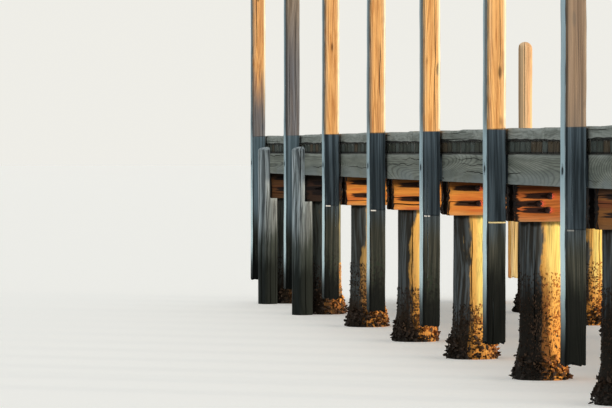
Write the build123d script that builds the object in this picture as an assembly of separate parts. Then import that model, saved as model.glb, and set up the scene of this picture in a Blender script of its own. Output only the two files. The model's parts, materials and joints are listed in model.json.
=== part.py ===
"""Timber jetty on round piles: bents of two piles and two half-caps, stringers, planks, kerbs and fender posts.

Millimetres. +X runs along the jetty towards the shore, -X towards its head, -Y is the side with the tall
posts, and +Z is up. Z is 0 at the water, where the piles end, and X and Y are 0 in the middle of the deck.
"""

from build123d import *

import math
import os

# Layout along the jetty. Bent 0 is nearest the shore and the last bent is at the head.
BAY_COUNT = 6
BAY = 2800.0
SHORE_OVERHANG = 1100.0
HEAD_OVERHANG = 300.0
DECK_WIDTH = 3000.0

# Heights over the water.
CAP_UNDERSIDE = 1280.0
CAP_DEPTH = 300.0
STRINGER_DEPTH = 250.0
PLANK_THICKNESS = 100.0
KERB_DEPTH = 100.0

# Piles: round, cut to a tenon between the half-caps, with a many-sided collar of growth at the water.
PILE_DIAMETER = 350.0
PILE_INSET = 290.0
COLLAR_FOOT_RADIUS = 215.0
COLLAR_TOP_RADIUS = 184.0
COLLAR_HEIGHT = 260.0
COLLAR_SIDES = 24
TENON_THICKNESS = 150.0

# Half-caps: one on each cheek of the tenons.
HALF_CAP_THICKNESS = 125.0
HALF_CAP_END_INSET = 30.0
HALF_CAP_CHAMFER = 12.0

# Stringers: an outer and an inner line on each side, in lengths of two bays with halved scarfs.
STRINGER_WIDTH = 200.0
INNER_STRINGER_OFFSET = 500.0
SCARF_LENGTH = 300.0
SCARF_GAP = 3.0
STRINGER_LENGTH_BAYS = 2

# Deck planks lie across the stringers.
PLANK_WIDTH = 190.0
PLANK_PITCH = 200.0
PLANK_CHAMFER = 4.0

# Kerbs: one along each edge in lengths of two bays, and one across the head.
KERB_WIDTH = 175.0
KERB_CHAMFER = 10.0
KERB_GAP = 6.0

# Square fender posts, tall on the near side and short on the far side, held off the stringer by packers.
POST_SIZE = 160.0
POST_FOOT = 280.0
POST_RISE = 1920.0
FAR_POST_RISE = 110.0
POST_ARRIS = 7.0
PACKER_THICKNESS = 20.0
PACKER_WIDTH = 110.0
PACKER_INSET = 10.0
RECESS_DIAMETER = 60.0
RECESS_DEPTH = 40.0

# Round fender piles beside the square posts of the outermost bents, hewn flat against the stringer.
HEAD_FENDER_COUNT = 2
HEAD_FENDER_DIAMETER = 240.0
HEAD_FENDER_PROJECTION = 130.0
HEAD_FENDER_POST_GAP = 10.0
HEAD_FENDER_DROP = 30.0
HEAD_FENDER_DOME = 45.0

# Mooring poles on the far side, hewn flat against the stringer.
MOORING_DIAMETER = 180.0
MOORING_RISE = 1240.0
MOORING_DOME = 45.0
MOORING_PROJECTION = 160.0
MOORING_SHORE_OFFSET = 280.0
MOORING_HEAD_OFFSET = 670.0

CAP_TOP = CAP_UNDERSIDE + CAP_DEPTH
STRINGER_TOP = CAP_TOP + STRINGER_DEPTH
DECK_TOP = STRINGER_TOP + PLANK_THICKNESS
KERB_TOP = DECK_TOP + KERB_DEPTH
POST_TOP = DECK_TOP + POST_RISE
FAR_POST_TOP = DECK_TOP + FAR_POST_RISE
HEAD_FENDER_TOP = DECK_TOP - HEAD_FENDER_DROP
MOORING_TOP = DECK_TOP + MOORING_RISE
HALF_WIDTH = DECK_WIDTH / 2
DECK_LENGTH = BAY_COUNT * BAY + SHORE_OVERHANG + HEAD_OVERHANG
SHORE_END = DECK_LENGTH / 2
HEAD_END = -DECK_LENGTH / 2
BENT_XS = [SHORE_END - SHORE_OVERHANG - BAY * bent for bent in range(BAY_COUNT + 1)]
PILE_OFFSET = HALF_WIDTH - PILE_INSET
OUTER_STRINGER_OFFSET = HALF_WIDTH - STRINGER_WIDTH / 2
NEAR = -1
FAR = 1
RECESS_HEIGHT = CAP_TOP + STRINGER_DEPTH / 2

os.makedirs("parts", exist_ok=True)


def block(x_range, y_range, z_range):
    """A box between two places along each axis."""
    sizes = [high - low for low, high in (x_range, y_range, z_range)]
    middles = [(high + low) / 2 for low, high in (x_range, y_range, z_range)]
    return Pos(*middles) * Box(*sizes)


def save(name, solids):
    """Write one node, from one solid or a list of solids that don't touch."""
    if isinstance(solids, (list, tuple)):
        solids = Compound(children=list(solids))
    solids.label = name
    export_step(solids, f"parts/{name}.step")


def pile(x, side):
    """A round pile in its collar, checked on both cheeks for the half-caps."""
    taper = math.degrees(math.atan2(COLLAR_FOOT_RADIUS - COLLAR_TOP_RADIUS, COLLAR_HEIGHT))
    collar = extrude(RegularPolygon(COLLAR_FOOT_RADIUS, COLLAR_SIDES), COLLAR_HEIGHT, taper=taper)
    shape = collar + Pos(0, 0, CAP_TOP / 2) * Cylinder(PILE_DIAMETER / 2, CAP_TOP)
    for cheek in (-1, 1):
        inner, outer = cheek * TENON_THICKNESS / 2, cheek * PILE_DIAMETER
        cut = block(sorted((inner, outer)), (-PILE_DIAMETER, PILE_DIAMETER), (CAP_UNDERSIDE, CAP_TOP + CAP_DEPTH))
        shape -= cut
    return Pos(x, side * PILE_OFFSET, 0) * shape


def half_cap(x, cheek):
    """One half-cap, standing against a cheek of the tenons, with its four end arrises dressed off."""
    inner = cheek * TENON_THICKNESS / 2
    outer = cheek * (TENON_THICKNESS / 2 + HALF_CAP_THICKNESS)
    reach = HALF_WIDTH - HALF_CAP_END_INSET
    beam = block(sorted((inner, outer)), (-reach, reach), (CAP_UNDERSIDE, CAP_TOP))
    under_arrises = beam.edges().filter_by(Axis.X).group_by(Axis.Z)[0]
    return Pos(x, 0, 0) * chamfer(under_arrises, HALF_CAP_CHAMFER)


def stringer_joints(first_bent):
    """The bents over which a line of stringers is scarfed."""
    return [BENT_XS[bent] for bent in range(first_bent, BAY_COUNT, STRINGER_LENGTH_BAYS)]


def stringer_line(y, joints):
    """One line of stringers, its lengths halved over each other at the joints."""
    half_depth = CAP_TOP + STRINGER_DEPTH / 2
    ends = [SHORE_END, *joints, HEAD_END]
    width = (y - STRINGER_WIDTH / 2, y + STRINGER_WIDTH / 2)
    lap = SCARF_LENGTH / 2
    lengths = []
    for index, (shoreward, headward) in enumerate(zip(ends, ends[1:])):
        high = shoreward if index == 0 else shoreward + lap - SCARF_GAP / 2
        low = headward if index == len(ends) - 2 else headward - lap + SCARF_GAP / 2
        beam = block((low, high), width, (CAP_TOP, STRINGER_TOP))
        if index > 0:
            upper = (half_depth - SCARF_GAP / 2, STRINGER_TOP + STRINGER_DEPTH)
            beam -= block((shoreward - lap - SCARF_GAP / 2, high + SCARF_LENGTH), width, upper)
        if index < len(ends) - 2:
            lower = (CAP_TOP - STRINGER_DEPTH, half_depth + SCARF_GAP / 2)
            beam -= block((low - SCARF_LENGTH, headward + lap + SCARF_GAP / 2), width, lower)
        lengths.append(beam)
    return lengths


def plank(x):
    """One deck plank across the stringers, its long top arrises eased."""
    half = PLANK_WIDTH / 2
    board = block((x - half, x + half), (-HALF_WIDTH, HALF_WIDTH), (STRINGER_TOP, DECK_TOP))
    top_arrises = board.edges().filter_by(Axis.Y).group_by(Axis.Z)[-1]
    return chamfer(top_arrises, PLANK_CHAMFER)


def plank_xs():
    """Plank centrelines, counted from the shore end."""
    count = math.floor(DECK_LENGTH / PLANK_PITCH)
    slack = (DECK_LENGTH - count * PLANK_PITCH) / 2
    return [SHORE_END - slack - PLANK_PITCH * (index + 0.5) for index in range(count)]


def bay_of(x):
    """The bay, from 1 at the shore, over which a plank lies, with the overhangs in the end bays."""
    bay = math.floor((BENT_XS[0] - x) / BAY) + 1
    return min(max(bay, 1), BAY_COUNT)


def kerb_length(x_range, y_range):
    """One length of kerb, its upper arrises chamfered."""
    beam = block(x_range, y_range, (DECK_TOP, KERB_TOP))
    long_axis = Axis.X if x_range[1] - x_range[0] > y_range[1] - y_range[0] else Axis.Y
    top_arrises = beam.edges().filter_by(long_axis).group_by(Axis.Z)[-1]
    return chamfer(top_arrises, KERB_CHAMFER)


def side_kerb(side):
    """The kerb along one edge of the deck, in lengths that meet over the middle of a bay."""
    joints = [x - BAY / 2 for x in BENT_XS[:-1:STRINGER_LENGTH_BAYS]]
    ends = [SHORE_END, *joints, HEAD_END]
    across = sorted((side * HALF_WIDTH, side * (HALF_WIDTH - KERB_WIDTH)))
    lengths = []
    for index, (shoreward, headward) in enumerate(zip(ends, ends[1:])):
        high = shoreward if index == 0 else shoreward - KERB_GAP / 2
        low = headward if index == len(ends) - 2 else headward + KERB_GAP / 2
        lengths.append(kerb_length((low, high), across))
    return lengths


def square_post(x, side, top):
    """A square fender post with its bolt recess and the packer that bears on the outer stringer."""
    bearing = side * HALF_WIDTH
    face = side * (HALF_WIDTH + PACKER_THICKNESS)
    outer = side * (HALF_WIDTH + PACKER_THICKNESS + POST_SIZE)
    half = POST_SIZE / 2
    timber = block((-half, half), sorted((face, outer)), (POST_FOOT, top))
    timber = chamfer(timber.edges().filter_by(Axis.Z), POST_ARRIS)
    recess = Cylinder(RECESS_DIAMETER / 2, RECESS_DEPTH * 2, rotation=(90, 0, 0))
    timber -= Pos(0, outer, RECESS_HEIGHT) * recess
    reach = PACKER_WIDTH / 2
    heights = (CAP_TOP + PACKER_INSET, STRINGER_TOP - PACKER_INSET)
    packer = block((-reach, reach), sorted((bearing, face)), heights)
    return Pos(x, 0, 0) * (timber + packer)


def domed_pole(diameter, top, dome):
    """A round pole from the water up, with its head dressed to a dome."""
    radius = diameter / 2
    shoulder = top - dome
    lines = Polyline((0, top), (0, 0), (radius, 0), (radius, shoulder))
    crown = RadiusArc((radius, shoulder), (0, top), -(radius**2 + dome**2) / (2 * dome))
    return revolve(make_face(Plane.XZ * (lines + crown)), Axis.Z)


def hewn_pole(x, side, diameter, projection, hewn_from, top, dome):
    """A domed pole whose side is hewn flat where it bears against the stringer and the deck."""
    radius = diameter / 2
    centre = side * (HALF_WIDTH + projection - radius)
    bearing = side * HALF_WIDTH
    deep = side * (HALF_WIDTH - diameter)
    flat = block((-diameter, diameter), sorted((bearing, deep)), (hewn_from, top + dome))
    return Pos(x, 0, 0) * (Pos(0, centre, 0) * domed_pole(diameter, top, dome) - flat)


for bent, bent_x in enumerate(BENT_XS):
    save(f"near_pile_{bent}", pile(bent_x, NEAR))
    save(f"far_pile_{bent}", pile(bent_x, FAR))
    save(f"crosshead_{bent}", [half_cap(bent_x, -1), half_cap(bent_x, 1)])
    save(f"near_fender_post_{bent}", square_post(bent_x, NEAR, POST_TOP))

save("far_fender_posts", [square_post(bent_x, FAR, FAR_POST_TOP) for bent_x in BENT_XS])

outer_joints = stringer_joints(STRINGER_LENGTH_BAYS)
inner_joints = stringer_joints(1)
save("near_stringer", stringer_line(NEAR * OUTER_STRINGER_OFFSET, outer_joints))
save("far_stringer", stringer_line(FAR * OUTER_STRINGER_OFFSET, outer_joints))
near_inner = stringer_line(NEAR * INNER_STRINGER_OFFSET, inner_joints)
far_inner = stringer_line(FAR * INNER_STRINGER_OFFSET, inner_joints)
save("inner_stringers", near_inner + far_inner)

for bay in range(1, BAY_COUNT + 1):
    save(f"deck_bay_{bay}", [plank(x) for x in plank_xs() if bay_of(x) == bay])

save("near_kerb", side_kerb(NEAR))
save("far_kerb", side_kerb(FAR))
head_reach = HALF_WIDTH - KERB_WIDTH - KERB_GAP
save("head_kerb", kerb_length((HEAD_END, HEAD_END + KERB_WIDTH), (-head_reach, head_reach)))

for bent in range(BAY_COUNT + 1 - HEAD_FENDER_COUNT, BAY_COUNT + 1):
    fender_x = BENT_XS[bent] + POST_SIZE / 2 + HEAD_FENDER_POST_GAP + HEAD_FENDER_DIAMETER / 2
    fender = hewn_pole(
        fender_x, NEAR, HEAD_FENDER_DIAMETER, HEAD_FENDER_PROJECTION, CAP_UNDERSIDE, HEAD_FENDER_TOP,
        HEAD_FENDER_DOME,
    )
    save(f"head_fender_pile_{bent}", fender)

for bent, offset in ((0, -MOORING_SHORE_OFFSET), (BAY_COUNT, MOORING_HEAD_OFFSET)):
    pole = hewn_pole(
        BENT_XS[bent] + offset, FAR, MOORING_DIAMETER, MOORING_PROJECTION, CAP_UNDERSIDE, MOORING_TOP,
        MOORING_DOME,
    )
    save(f"mooring_pole_{bent}", pole)
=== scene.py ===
"""Looks of the timber jetty: weathered timbers with drying splits, iron fastenings and shell growth.

Metres. +X runs to the shore, -X to the head, -Y is the side with the tall posts, and Z is 0 at the water.
Every timber follows the box of the solid that it stands for, so its place and size come from the frame.
"""

from __future__ import annotations

import json
import logging
import math
from collections.abc import Callable, Mapping, Sequence
from dataclasses import dataclass, field, replace
from enum import Enum
from functools import reduce
from typing import ClassVar

import bpy
import numpy as np
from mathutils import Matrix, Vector

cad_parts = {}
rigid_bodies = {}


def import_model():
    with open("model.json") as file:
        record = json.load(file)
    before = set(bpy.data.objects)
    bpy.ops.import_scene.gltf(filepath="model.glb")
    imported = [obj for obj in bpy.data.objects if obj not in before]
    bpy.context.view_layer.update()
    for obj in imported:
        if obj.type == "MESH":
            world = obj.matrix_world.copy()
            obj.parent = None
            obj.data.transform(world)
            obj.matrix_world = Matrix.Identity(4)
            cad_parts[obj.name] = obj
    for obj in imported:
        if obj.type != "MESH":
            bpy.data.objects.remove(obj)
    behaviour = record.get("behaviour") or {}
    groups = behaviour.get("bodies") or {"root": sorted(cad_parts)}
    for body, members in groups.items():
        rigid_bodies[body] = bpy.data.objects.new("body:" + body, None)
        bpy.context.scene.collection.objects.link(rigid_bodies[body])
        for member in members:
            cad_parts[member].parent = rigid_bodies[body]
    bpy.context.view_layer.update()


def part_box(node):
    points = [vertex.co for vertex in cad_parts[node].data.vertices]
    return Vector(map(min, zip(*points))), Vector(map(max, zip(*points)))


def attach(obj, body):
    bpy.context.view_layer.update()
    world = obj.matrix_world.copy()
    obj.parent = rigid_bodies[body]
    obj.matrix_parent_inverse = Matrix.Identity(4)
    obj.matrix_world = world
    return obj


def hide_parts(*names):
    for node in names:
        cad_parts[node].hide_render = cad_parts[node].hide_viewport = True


LOG = logging.getLogger("jetty")
SEEN_BY = ("Camera", "Glossy", "Transmission")
HEAD_BENT_X = 8.0
BAY = 2.8

Span = tuple[float, float]
Colour = tuple[float, float, float]
Corners = tuple[Vector, Vector]
Array = np.ndarray
Face = tuple[int, ...]
Curve = Callable[[Array], Array]
Clip = Callable[[Array, Array], Array]
Dice = np.random.Generator
Material = bpy.types.Material
Piece = bpy.types.Object


class Slot(Enum):
    """Material slots of the record, one for each kind of piece."""

    PILE = "pile_timber"
    CROSSHEAD = "crosshead_timber"
    POST = "post_timber"
    STRINGER = "stringer_timber"
    DECK = "deck_timber"
    KERB = "kerb_timber"


class Lie(Enum):
    """How a timber's length, width and depth lie along the frame's axes."""

    UPRIGHT = ((0, 0, 1), (1, 0, 0), (0, 1, 0))
    ALONG = ((1, 0, 0), (0, 1, 0), (0, 0, 1))
    ACROSS = ((0, 1, 0), (-1, 0, 0), (0, 0, 1))

    def sizes(self, box: Corners) -> list[float]:
        """Length, width and depth of a box that lies this way."""
        low, high = box
        return [abs(sum(part * (high[i] - low[i]) for i, part in enumerate(axis))) for axis in self.value]


def numbered(*prefixes: str) -> list[str]:
    """Names, in order, of the CAD nodes that start with a prefix and end with a number."""
    names = (name for name in bpy.data.objects.keys() if name.startswith(prefixes))
    return sorted(name for name in names if name[-1].isdigit())


def side_of(box: Corners) -> float:
    """Which side of the jetty a box is on: -1 on the near side and 1 on the far side."""
    return -1.0 if box[0].y < 0 else 1.0


# Shader maths


@dataclass(frozen=True)
class Noise:
    """A noise: waves per metre along each part of a vector, octaves, and the strength of the fine ones."""

    stretch: Colour
    detail: float = 3.0
    rough: float = 0.55


class Wire:
    """A socket of a shader node, on which arithmetic adds Math nodes."""

    def __init__(self, board: Board, socket: bpy.types.NodeSocket) -> None:
        """Keep the socket and the board that it is on."""
        self.board = board
        self.socket = socket

    def _math(self, operation: str, first: Wire | float, second: Wire | float) -> Wire:
        """Add one Math node."""
        return self.board.node("ShaderNodeMath", {"operation": operation}, {0: first, 1: second})

    def __add__(self, other: Wire | float) -> Wire:
        """Sum of two values."""
        return self._math("ADD", self, other)

    def __radd__(self, other: float) -> Wire:
        """Sum of two values."""
        return self._math("ADD", other, self)

    def __sub__(self, other: Wire | float) -> Wire:
        """Difference of two values."""
        return self._math("SUBTRACT", self, other)

    def __rsub__(self, other: float) -> Wire:
        """Difference of two values."""
        return self._math("SUBTRACT", other, self)

    def __mul__(self, other: Wire | float) -> Wire:
        """Product of two values."""
        return self._math("MULTIPLY", self, other)

    def __rmul__(self, other: float) -> Wire:
        """Product of two values."""
        return self._math("MULTIPLY", other, self)

    def __truediv__(self, other: Wire | float) -> Wire:
        """Quotient of two values."""
        return self._math("DIVIDE", self, other)

    def __pow__(self, other: float) -> Wire:
        """Power of a value."""
        return self._math("POWER", self, other)

    def most(self, other: Wire | float) -> Wire:
        """The larger of two values."""
        return self._math("MAXIMUM", self, other)

    def size(self) -> Wire:
        """The value without its sign."""
        return self._math("ABSOLUTE", self, 0.0)

    def sway(self, reach: float) -> Wire:
        """The value brought from 0 to 1 to half of reach on either side of 0."""
        return (self - 0.5) * reach

    def wave(self) -> Wire:
        """Sine of the value, brought to 0 to 1."""
        return self._math("SINE", self, 0.0) * 0.5 + 0.5

    def step(self, start: float, stop: float) -> Wire:
        """Smooth step of the value, from 0 at start to 1 at stop; either may be the higher one."""
        sockets = {"Value": self, "From Min": min(start, stop), "From Max": max(start, stop)}
        rise = self.board.node("ShaderNodeMapRange", {"interpolation_type": "SMOOTHSTEP"}, sockets)
        return rise if start <= stop else 1.0 - rise

    def parts(self) -> tuple[Wire, Wire, Wire]:
        """The three parts of a vector."""
        split = self.board.add("ShaderNodeSeparateXYZ", {}, {0: self})
        return tuple(Wire(self.board, split.outputs[axis]) for axis in "XYZ")


class Board:
    """The node board of a material or a world."""

    def __init__(self, owner: Material | bpy.types.World) -> None:
        """Clear the owner's nodes."""
        self.owner = owner
        owner.use_nodes = True
        self.tree = owner.node_tree
        self.tree.nodes.clear()

    def add(
        self, kind: str, settings: Mapping[str, object], sockets: Mapping[int | str, object]
    ) -> bpy.types.Node:
        """Add a node: its settings first, then its sockets.

        Args:
            kind: the node's type.
            settings: its properties; "stops" holds a ramp's places and colours.
            sockets: a value or a wire for each input, by name or number.

        Returns:
            The node.
        """
        node = self.tree.nodes.new(kind)
        for key, value in settings.items():
            if key == "stops":
                self._stops(node, value)
            else:
                setattr(node, key, value)
        for key, value in sockets.items():
            if isinstance(value, Wire):
                self.tree.links.new(value.socket, node.inputs[key])
            else:
                socket = node.inputs[key]
                socket.default_value = (*value, 1.0) if socket.type == "RGBA" and len(value) == 3 else value
        return node

    def _stops(self, node: bpy.types.Node, stops: Sequence[tuple[float, Colour]]) -> None:
        """Set a colour ramp's stops."""
        elements = node.color_ramp.elements
        while len(elements) < len(stops):
            elements.new(1.0)
        for element, (place, colour) in zip(elements, stops):
            element.position = place
            element.color = (*colour, 1.0)

    def node(
        self,
        kind: str,
        settings: Mapping[str, object],
        sockets: Mapping[int | str, object],
        out: int | str = 0,
    ) -> Wire:
        """Add a node and take one of its outputs."""
        return Wire(self, self.add(kind, settings, sockets).outputs[out])

    def vector(self, operation: str, first: Wire | Colour, second: Wire | Colour) -> Wire:
        """Vector maths on two vectors."""
        return self.node("ShaderNodeVectorMath", {"operation": operation}, {0: first, 1: second})

    def blend(
        self, amount: Wire | float, under: Wire | Colour, over: Wire | Colour, mode: str = "MIX"
    ) -> Wire:
        """Mix two colours."""
        settings = {"data_type": "RGBA", "blend_type": mode, "clamp_factor": True}
        return self.node("ShaderNodeMix", settings, {0: amount, 6: under, 7: over}, out=2)

    def noise(self, place: Wire, noise: Noise) -> Wire:
        """A noise on a vector; its values lie about 0.5."""
        scaled = self.vector("MULTIPLY", place, noise.stretch)
        sockets = {"Vector": scaled, "Scale": 1.0, "Detail": noise.detail, "Roughness": noise.rough}
        return self.node("ShaderNodeTexNoise", {}, sockets)

    def attribute(self, name: str, out: str = "Fac") -> Wire:
        """A value that the mesh carries."""
        return self.node("ShaderNodeAttribute", {"attribute_name": name}, {}, out)

    def spot(self) -> Wire:
        """The place on the object, in the frame's metres."""
        return self.node("ShaderNodeTexCoord", {}, {}, "Object")

    def facing(self) -> Wire:
        """The surface's outward direction."""
        return self.node("ShaderNodeNewGeometry", {}, {}, "Normal")

    def seen(self) -> Wire:
        """1 for the rays that show a thing, and 0 for those that only light others."""
        paths = [self.node("ShaderNodeLightPath", {}, {}, f"Is {kind} Ray") for kind in SEEN_BY]
        return reduce(Wire.most, paths)

    def finish(
        self, colour: Wire | Colour, rough: Wire | float, relief: Wire, depth: float,
        shine: Mapping[str, float],
    ) -> None:
        """Wire the shader to the output."""
        bump = self.node("ShaderNodeBump", {}, {"Strength": 0.8, "Distance": depth, "Height": relief})
        sockets = {"Base Color": colour, "Roughness": rough, "Normal": bump, **shine}
        shader = self.node("ShaderNodeBsdfPrincipled", {}, sockets)
        self.add("ShaderNodeOutputMaterial", {}, {"Surface": shader})


# Finishes


@dataclass(frozen=True)
class Pair:
    """Two colours in streaks, and the noise values between which the dark one turns into the pale one."""

    dark: Colour
    pale: Colour
    turn: Span = (0.38, 0.66)


@dataclass(frozen=True)
class Coat:
    """A colour over the timber's own, and how much of it shows where it is fullest."""

    colour: Colour
    amount: float = 1.0


@dataclass(frozen=True)
class Shade:
    """A darkening: the share of the colour that is left, and how much of it shows where it is fullest."""

    left: float
    amount: float = 1.0


@dataclass(frozen=True)
class Grain:
    """What the timber shader needs to know of one kind of timber."""

    pale: Colour
    dark: Colour
    worn: Colour
    ring_pitch: float = 0.014
    ring_strength: float = 0.35
    swirl: float = 0.05
    fibre_strength: float = 0.5
    wear: float = 0.75
    knots: float = 0.0
    line: Colour = (0.35, 0.35, 0.35)


class TimberFinish:
    """Weathered timber: fibres, growth rings about the heart, splits, worn arrises and stains."""

    fibres = Noise((2.2, 85.0, 85.0), 4.0, 0.6)
    streaks = Noise((0.45, 17.0, 17.0))
    patches = Noise((1.1, 5.0, 5.0), 2.0)
    pale_shares = (0.6, 0.4, 0.7)
    ring_bends = Noise((0.9, 5.0, 5.0), 2.0)
    ring_sharpness = 2.4
    relief_shares = (0.35, 0.5, 0.15)
    relief_depth = 0.004
    knot_cells = (2.4, 8.0, 8.0)
    knot_left = 0.22
    rubs = Noise((6.0, 30.0, 30.0))
    # Near-black in the splits: painted shade in the cracks.
    split_shade = Coat((0.012, 0.010, 0.008))
    rough_spots = Noise((4.0, 40.0, 40.0), 2.0)
    roughness = (0.78, 0.2)
    specular = 0.12

    def __init__(self, name: str, grain: Grain) -> None:
        """Start the board and the values that every timber shares.

        Args:
            name: the material's name.
            grain: the timber's colours and figure.
        """
        self.grain = grain
        self.board = Board(bpy.data.materials.new(name))
        self.heart = self.board.attribute("heart", "Vector")
        self.split = self.board.attribute("split")
        self.edge = self.board.attribute("edge")
        self.tone = self.board.attribute("tone")
        # How far a timber is painted as in cast shade.
        self.grey = self.board.attribute("grey")
        self.top = self.board.attribute("top")
        self.spot = self.board.spot()
        self.along, self.across, self.height = self.spot.parts()
        self.facing_x, self.facing_y, self.facing_z = self.board.facing().parts()

    def veins(self, noise: Noise) -> Wire:
        """A noise that is drawn out along the timber's heart."""
        return self.board.noise(self.heart, noise)

    def paired(self, streak: Wire, pair: Pair) -> Wire:
        """The two colours of a pair, in the streaks of a noise."""
        return self.board.blend(streak.step(*pair.turn), pair.dark, pair.pale)

    def coat(self, colour: Wire, mask: Wire | float, coat: Coat) -> Wire:
        """Lay a coat over a colour where a mask is high."""
        return self.board.blend(mask * coat.amount, colour, coat.colour)

    def shade(self, colour: Wire, mask: Wire | float, shade: Shade) -> Wire:
        """Darken a colour where a mask is high."""
        dark = self.board.blend(1.0, colour, (shade.left, shade.left, shade.left), "MULTIPLY")
        return self.board.blend(mask * shade.amount, colour, dark)

    def figure(self) -> tuple[Wire, Wire]:
        """Colour and relief of the bare timber.

        Returns:
            The colour, and a height from 0 to 1.
        """
        board, grain = self.board, self.grain
        _, across, deep = self.heart.parts()
        fibre, streak, patch = (self.veins(noise) for noise in (self.fibres, self.streaks, self.patches))
        radius = (across * across + deep * deep) ** 0.5
        bend = self.veins(self.ring_bends) * grain.swirl
        rings = ((radius + bend) * (math.tau / grain.ring_pitch)).wave() ** self.ring_sharpness
        by_streak, by_patch, by_tone = self.pale_shares
        mixed = streak.step(0.32, 0.68) * by_streak + patch.step(0.3, 0.7) * by_patch
        colour = board.blend(mixed + self.tone.sway(by_tone), grain.dark, grain.pale)
        lines = (rings * grain.ring_strength).most(fibre.step(0.56, 0.36) * grain.fibre_strength)
        colour = board.blend(lines, colour, board.blend(1.0, colour, grain.line, "MULTIPLY"))
        if grain.knots:
            place = board.vector("MULTIPLY", self.heart, self.knot_cells)
            cells = {"Vector": place, "Scale": 1.0, "Randomness": 1.0}
            apart = board.node("ShaderNodeTexVoronoi", {"feature": "F1"}, cells, "Distance")
            colour = self.shade(colour, apart.step(0.20, 0.11), Shade(self.knot_left, grain.knots))
        rub = self.veins(self.rubs).step(0.25, 0.55)
        colour = self.coat(colour, self.edge * rub, Coat(grain.worn, grain.wear))
        by_ring, by_fibre, by_streak = self.relief_shares
        return colour, (1.0 - rings) * by_ring + fibre * by_fibre + streak * by_streak

    def weather(self, colour: Wire) -> Wire:
        """What the weather and the water add; each kind of timber has its own."""
        raise NotImplementedError

    def build(self) -> Material:
        """Wire the whole finish.

        Returns:
            The material.
        """
        colour, relief = self.figure()
        # The splits are filled with near-black, painted shade.
        colour = self.coat(self.weather(colour), self.split.step(0.05, 0.6), self.split_shade)
        smooth, gain = self.roughness
        rough = smooth + self.veins(self.rough_spots) * gain
        self.board.finish(colour, rough, relief, self.relief_depth, {"Specular IOR Level": self.specular})
        return self.board.owner


class TidalFinish(TimberFinish):
    """Timber that stands in the water: wet and green below the tide mark, black at the foot."""

    tide_top = 0.95
    tide_foot = 0.42
    slime_depth = 0.3
    weed = (0.030, 0.036, 0.020)
    slime = (0.012, 0.012, 0.010)
    cover = 0.85
    tongues = Noise((0.9, 22.0, 22.0))

    def tide(self, colour: Wire, lift: Wire | float = 0.0) -> Wire:
        """Add the tide mark, whose edge runs up the grain in tongues."""
        level = self.height + self.veins(self.tongues).sway(0.55) + lift
        colour = self.coat(colour, level.step(self.tide_top, self.tide_foot), Coat(self.weed, self.cover))
        foot = level.step(self.tide_foot, self.tide_foot - self.slime_depth)
        return self.coat(colour, foot, Coat(self.slime, self.cover))


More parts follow.
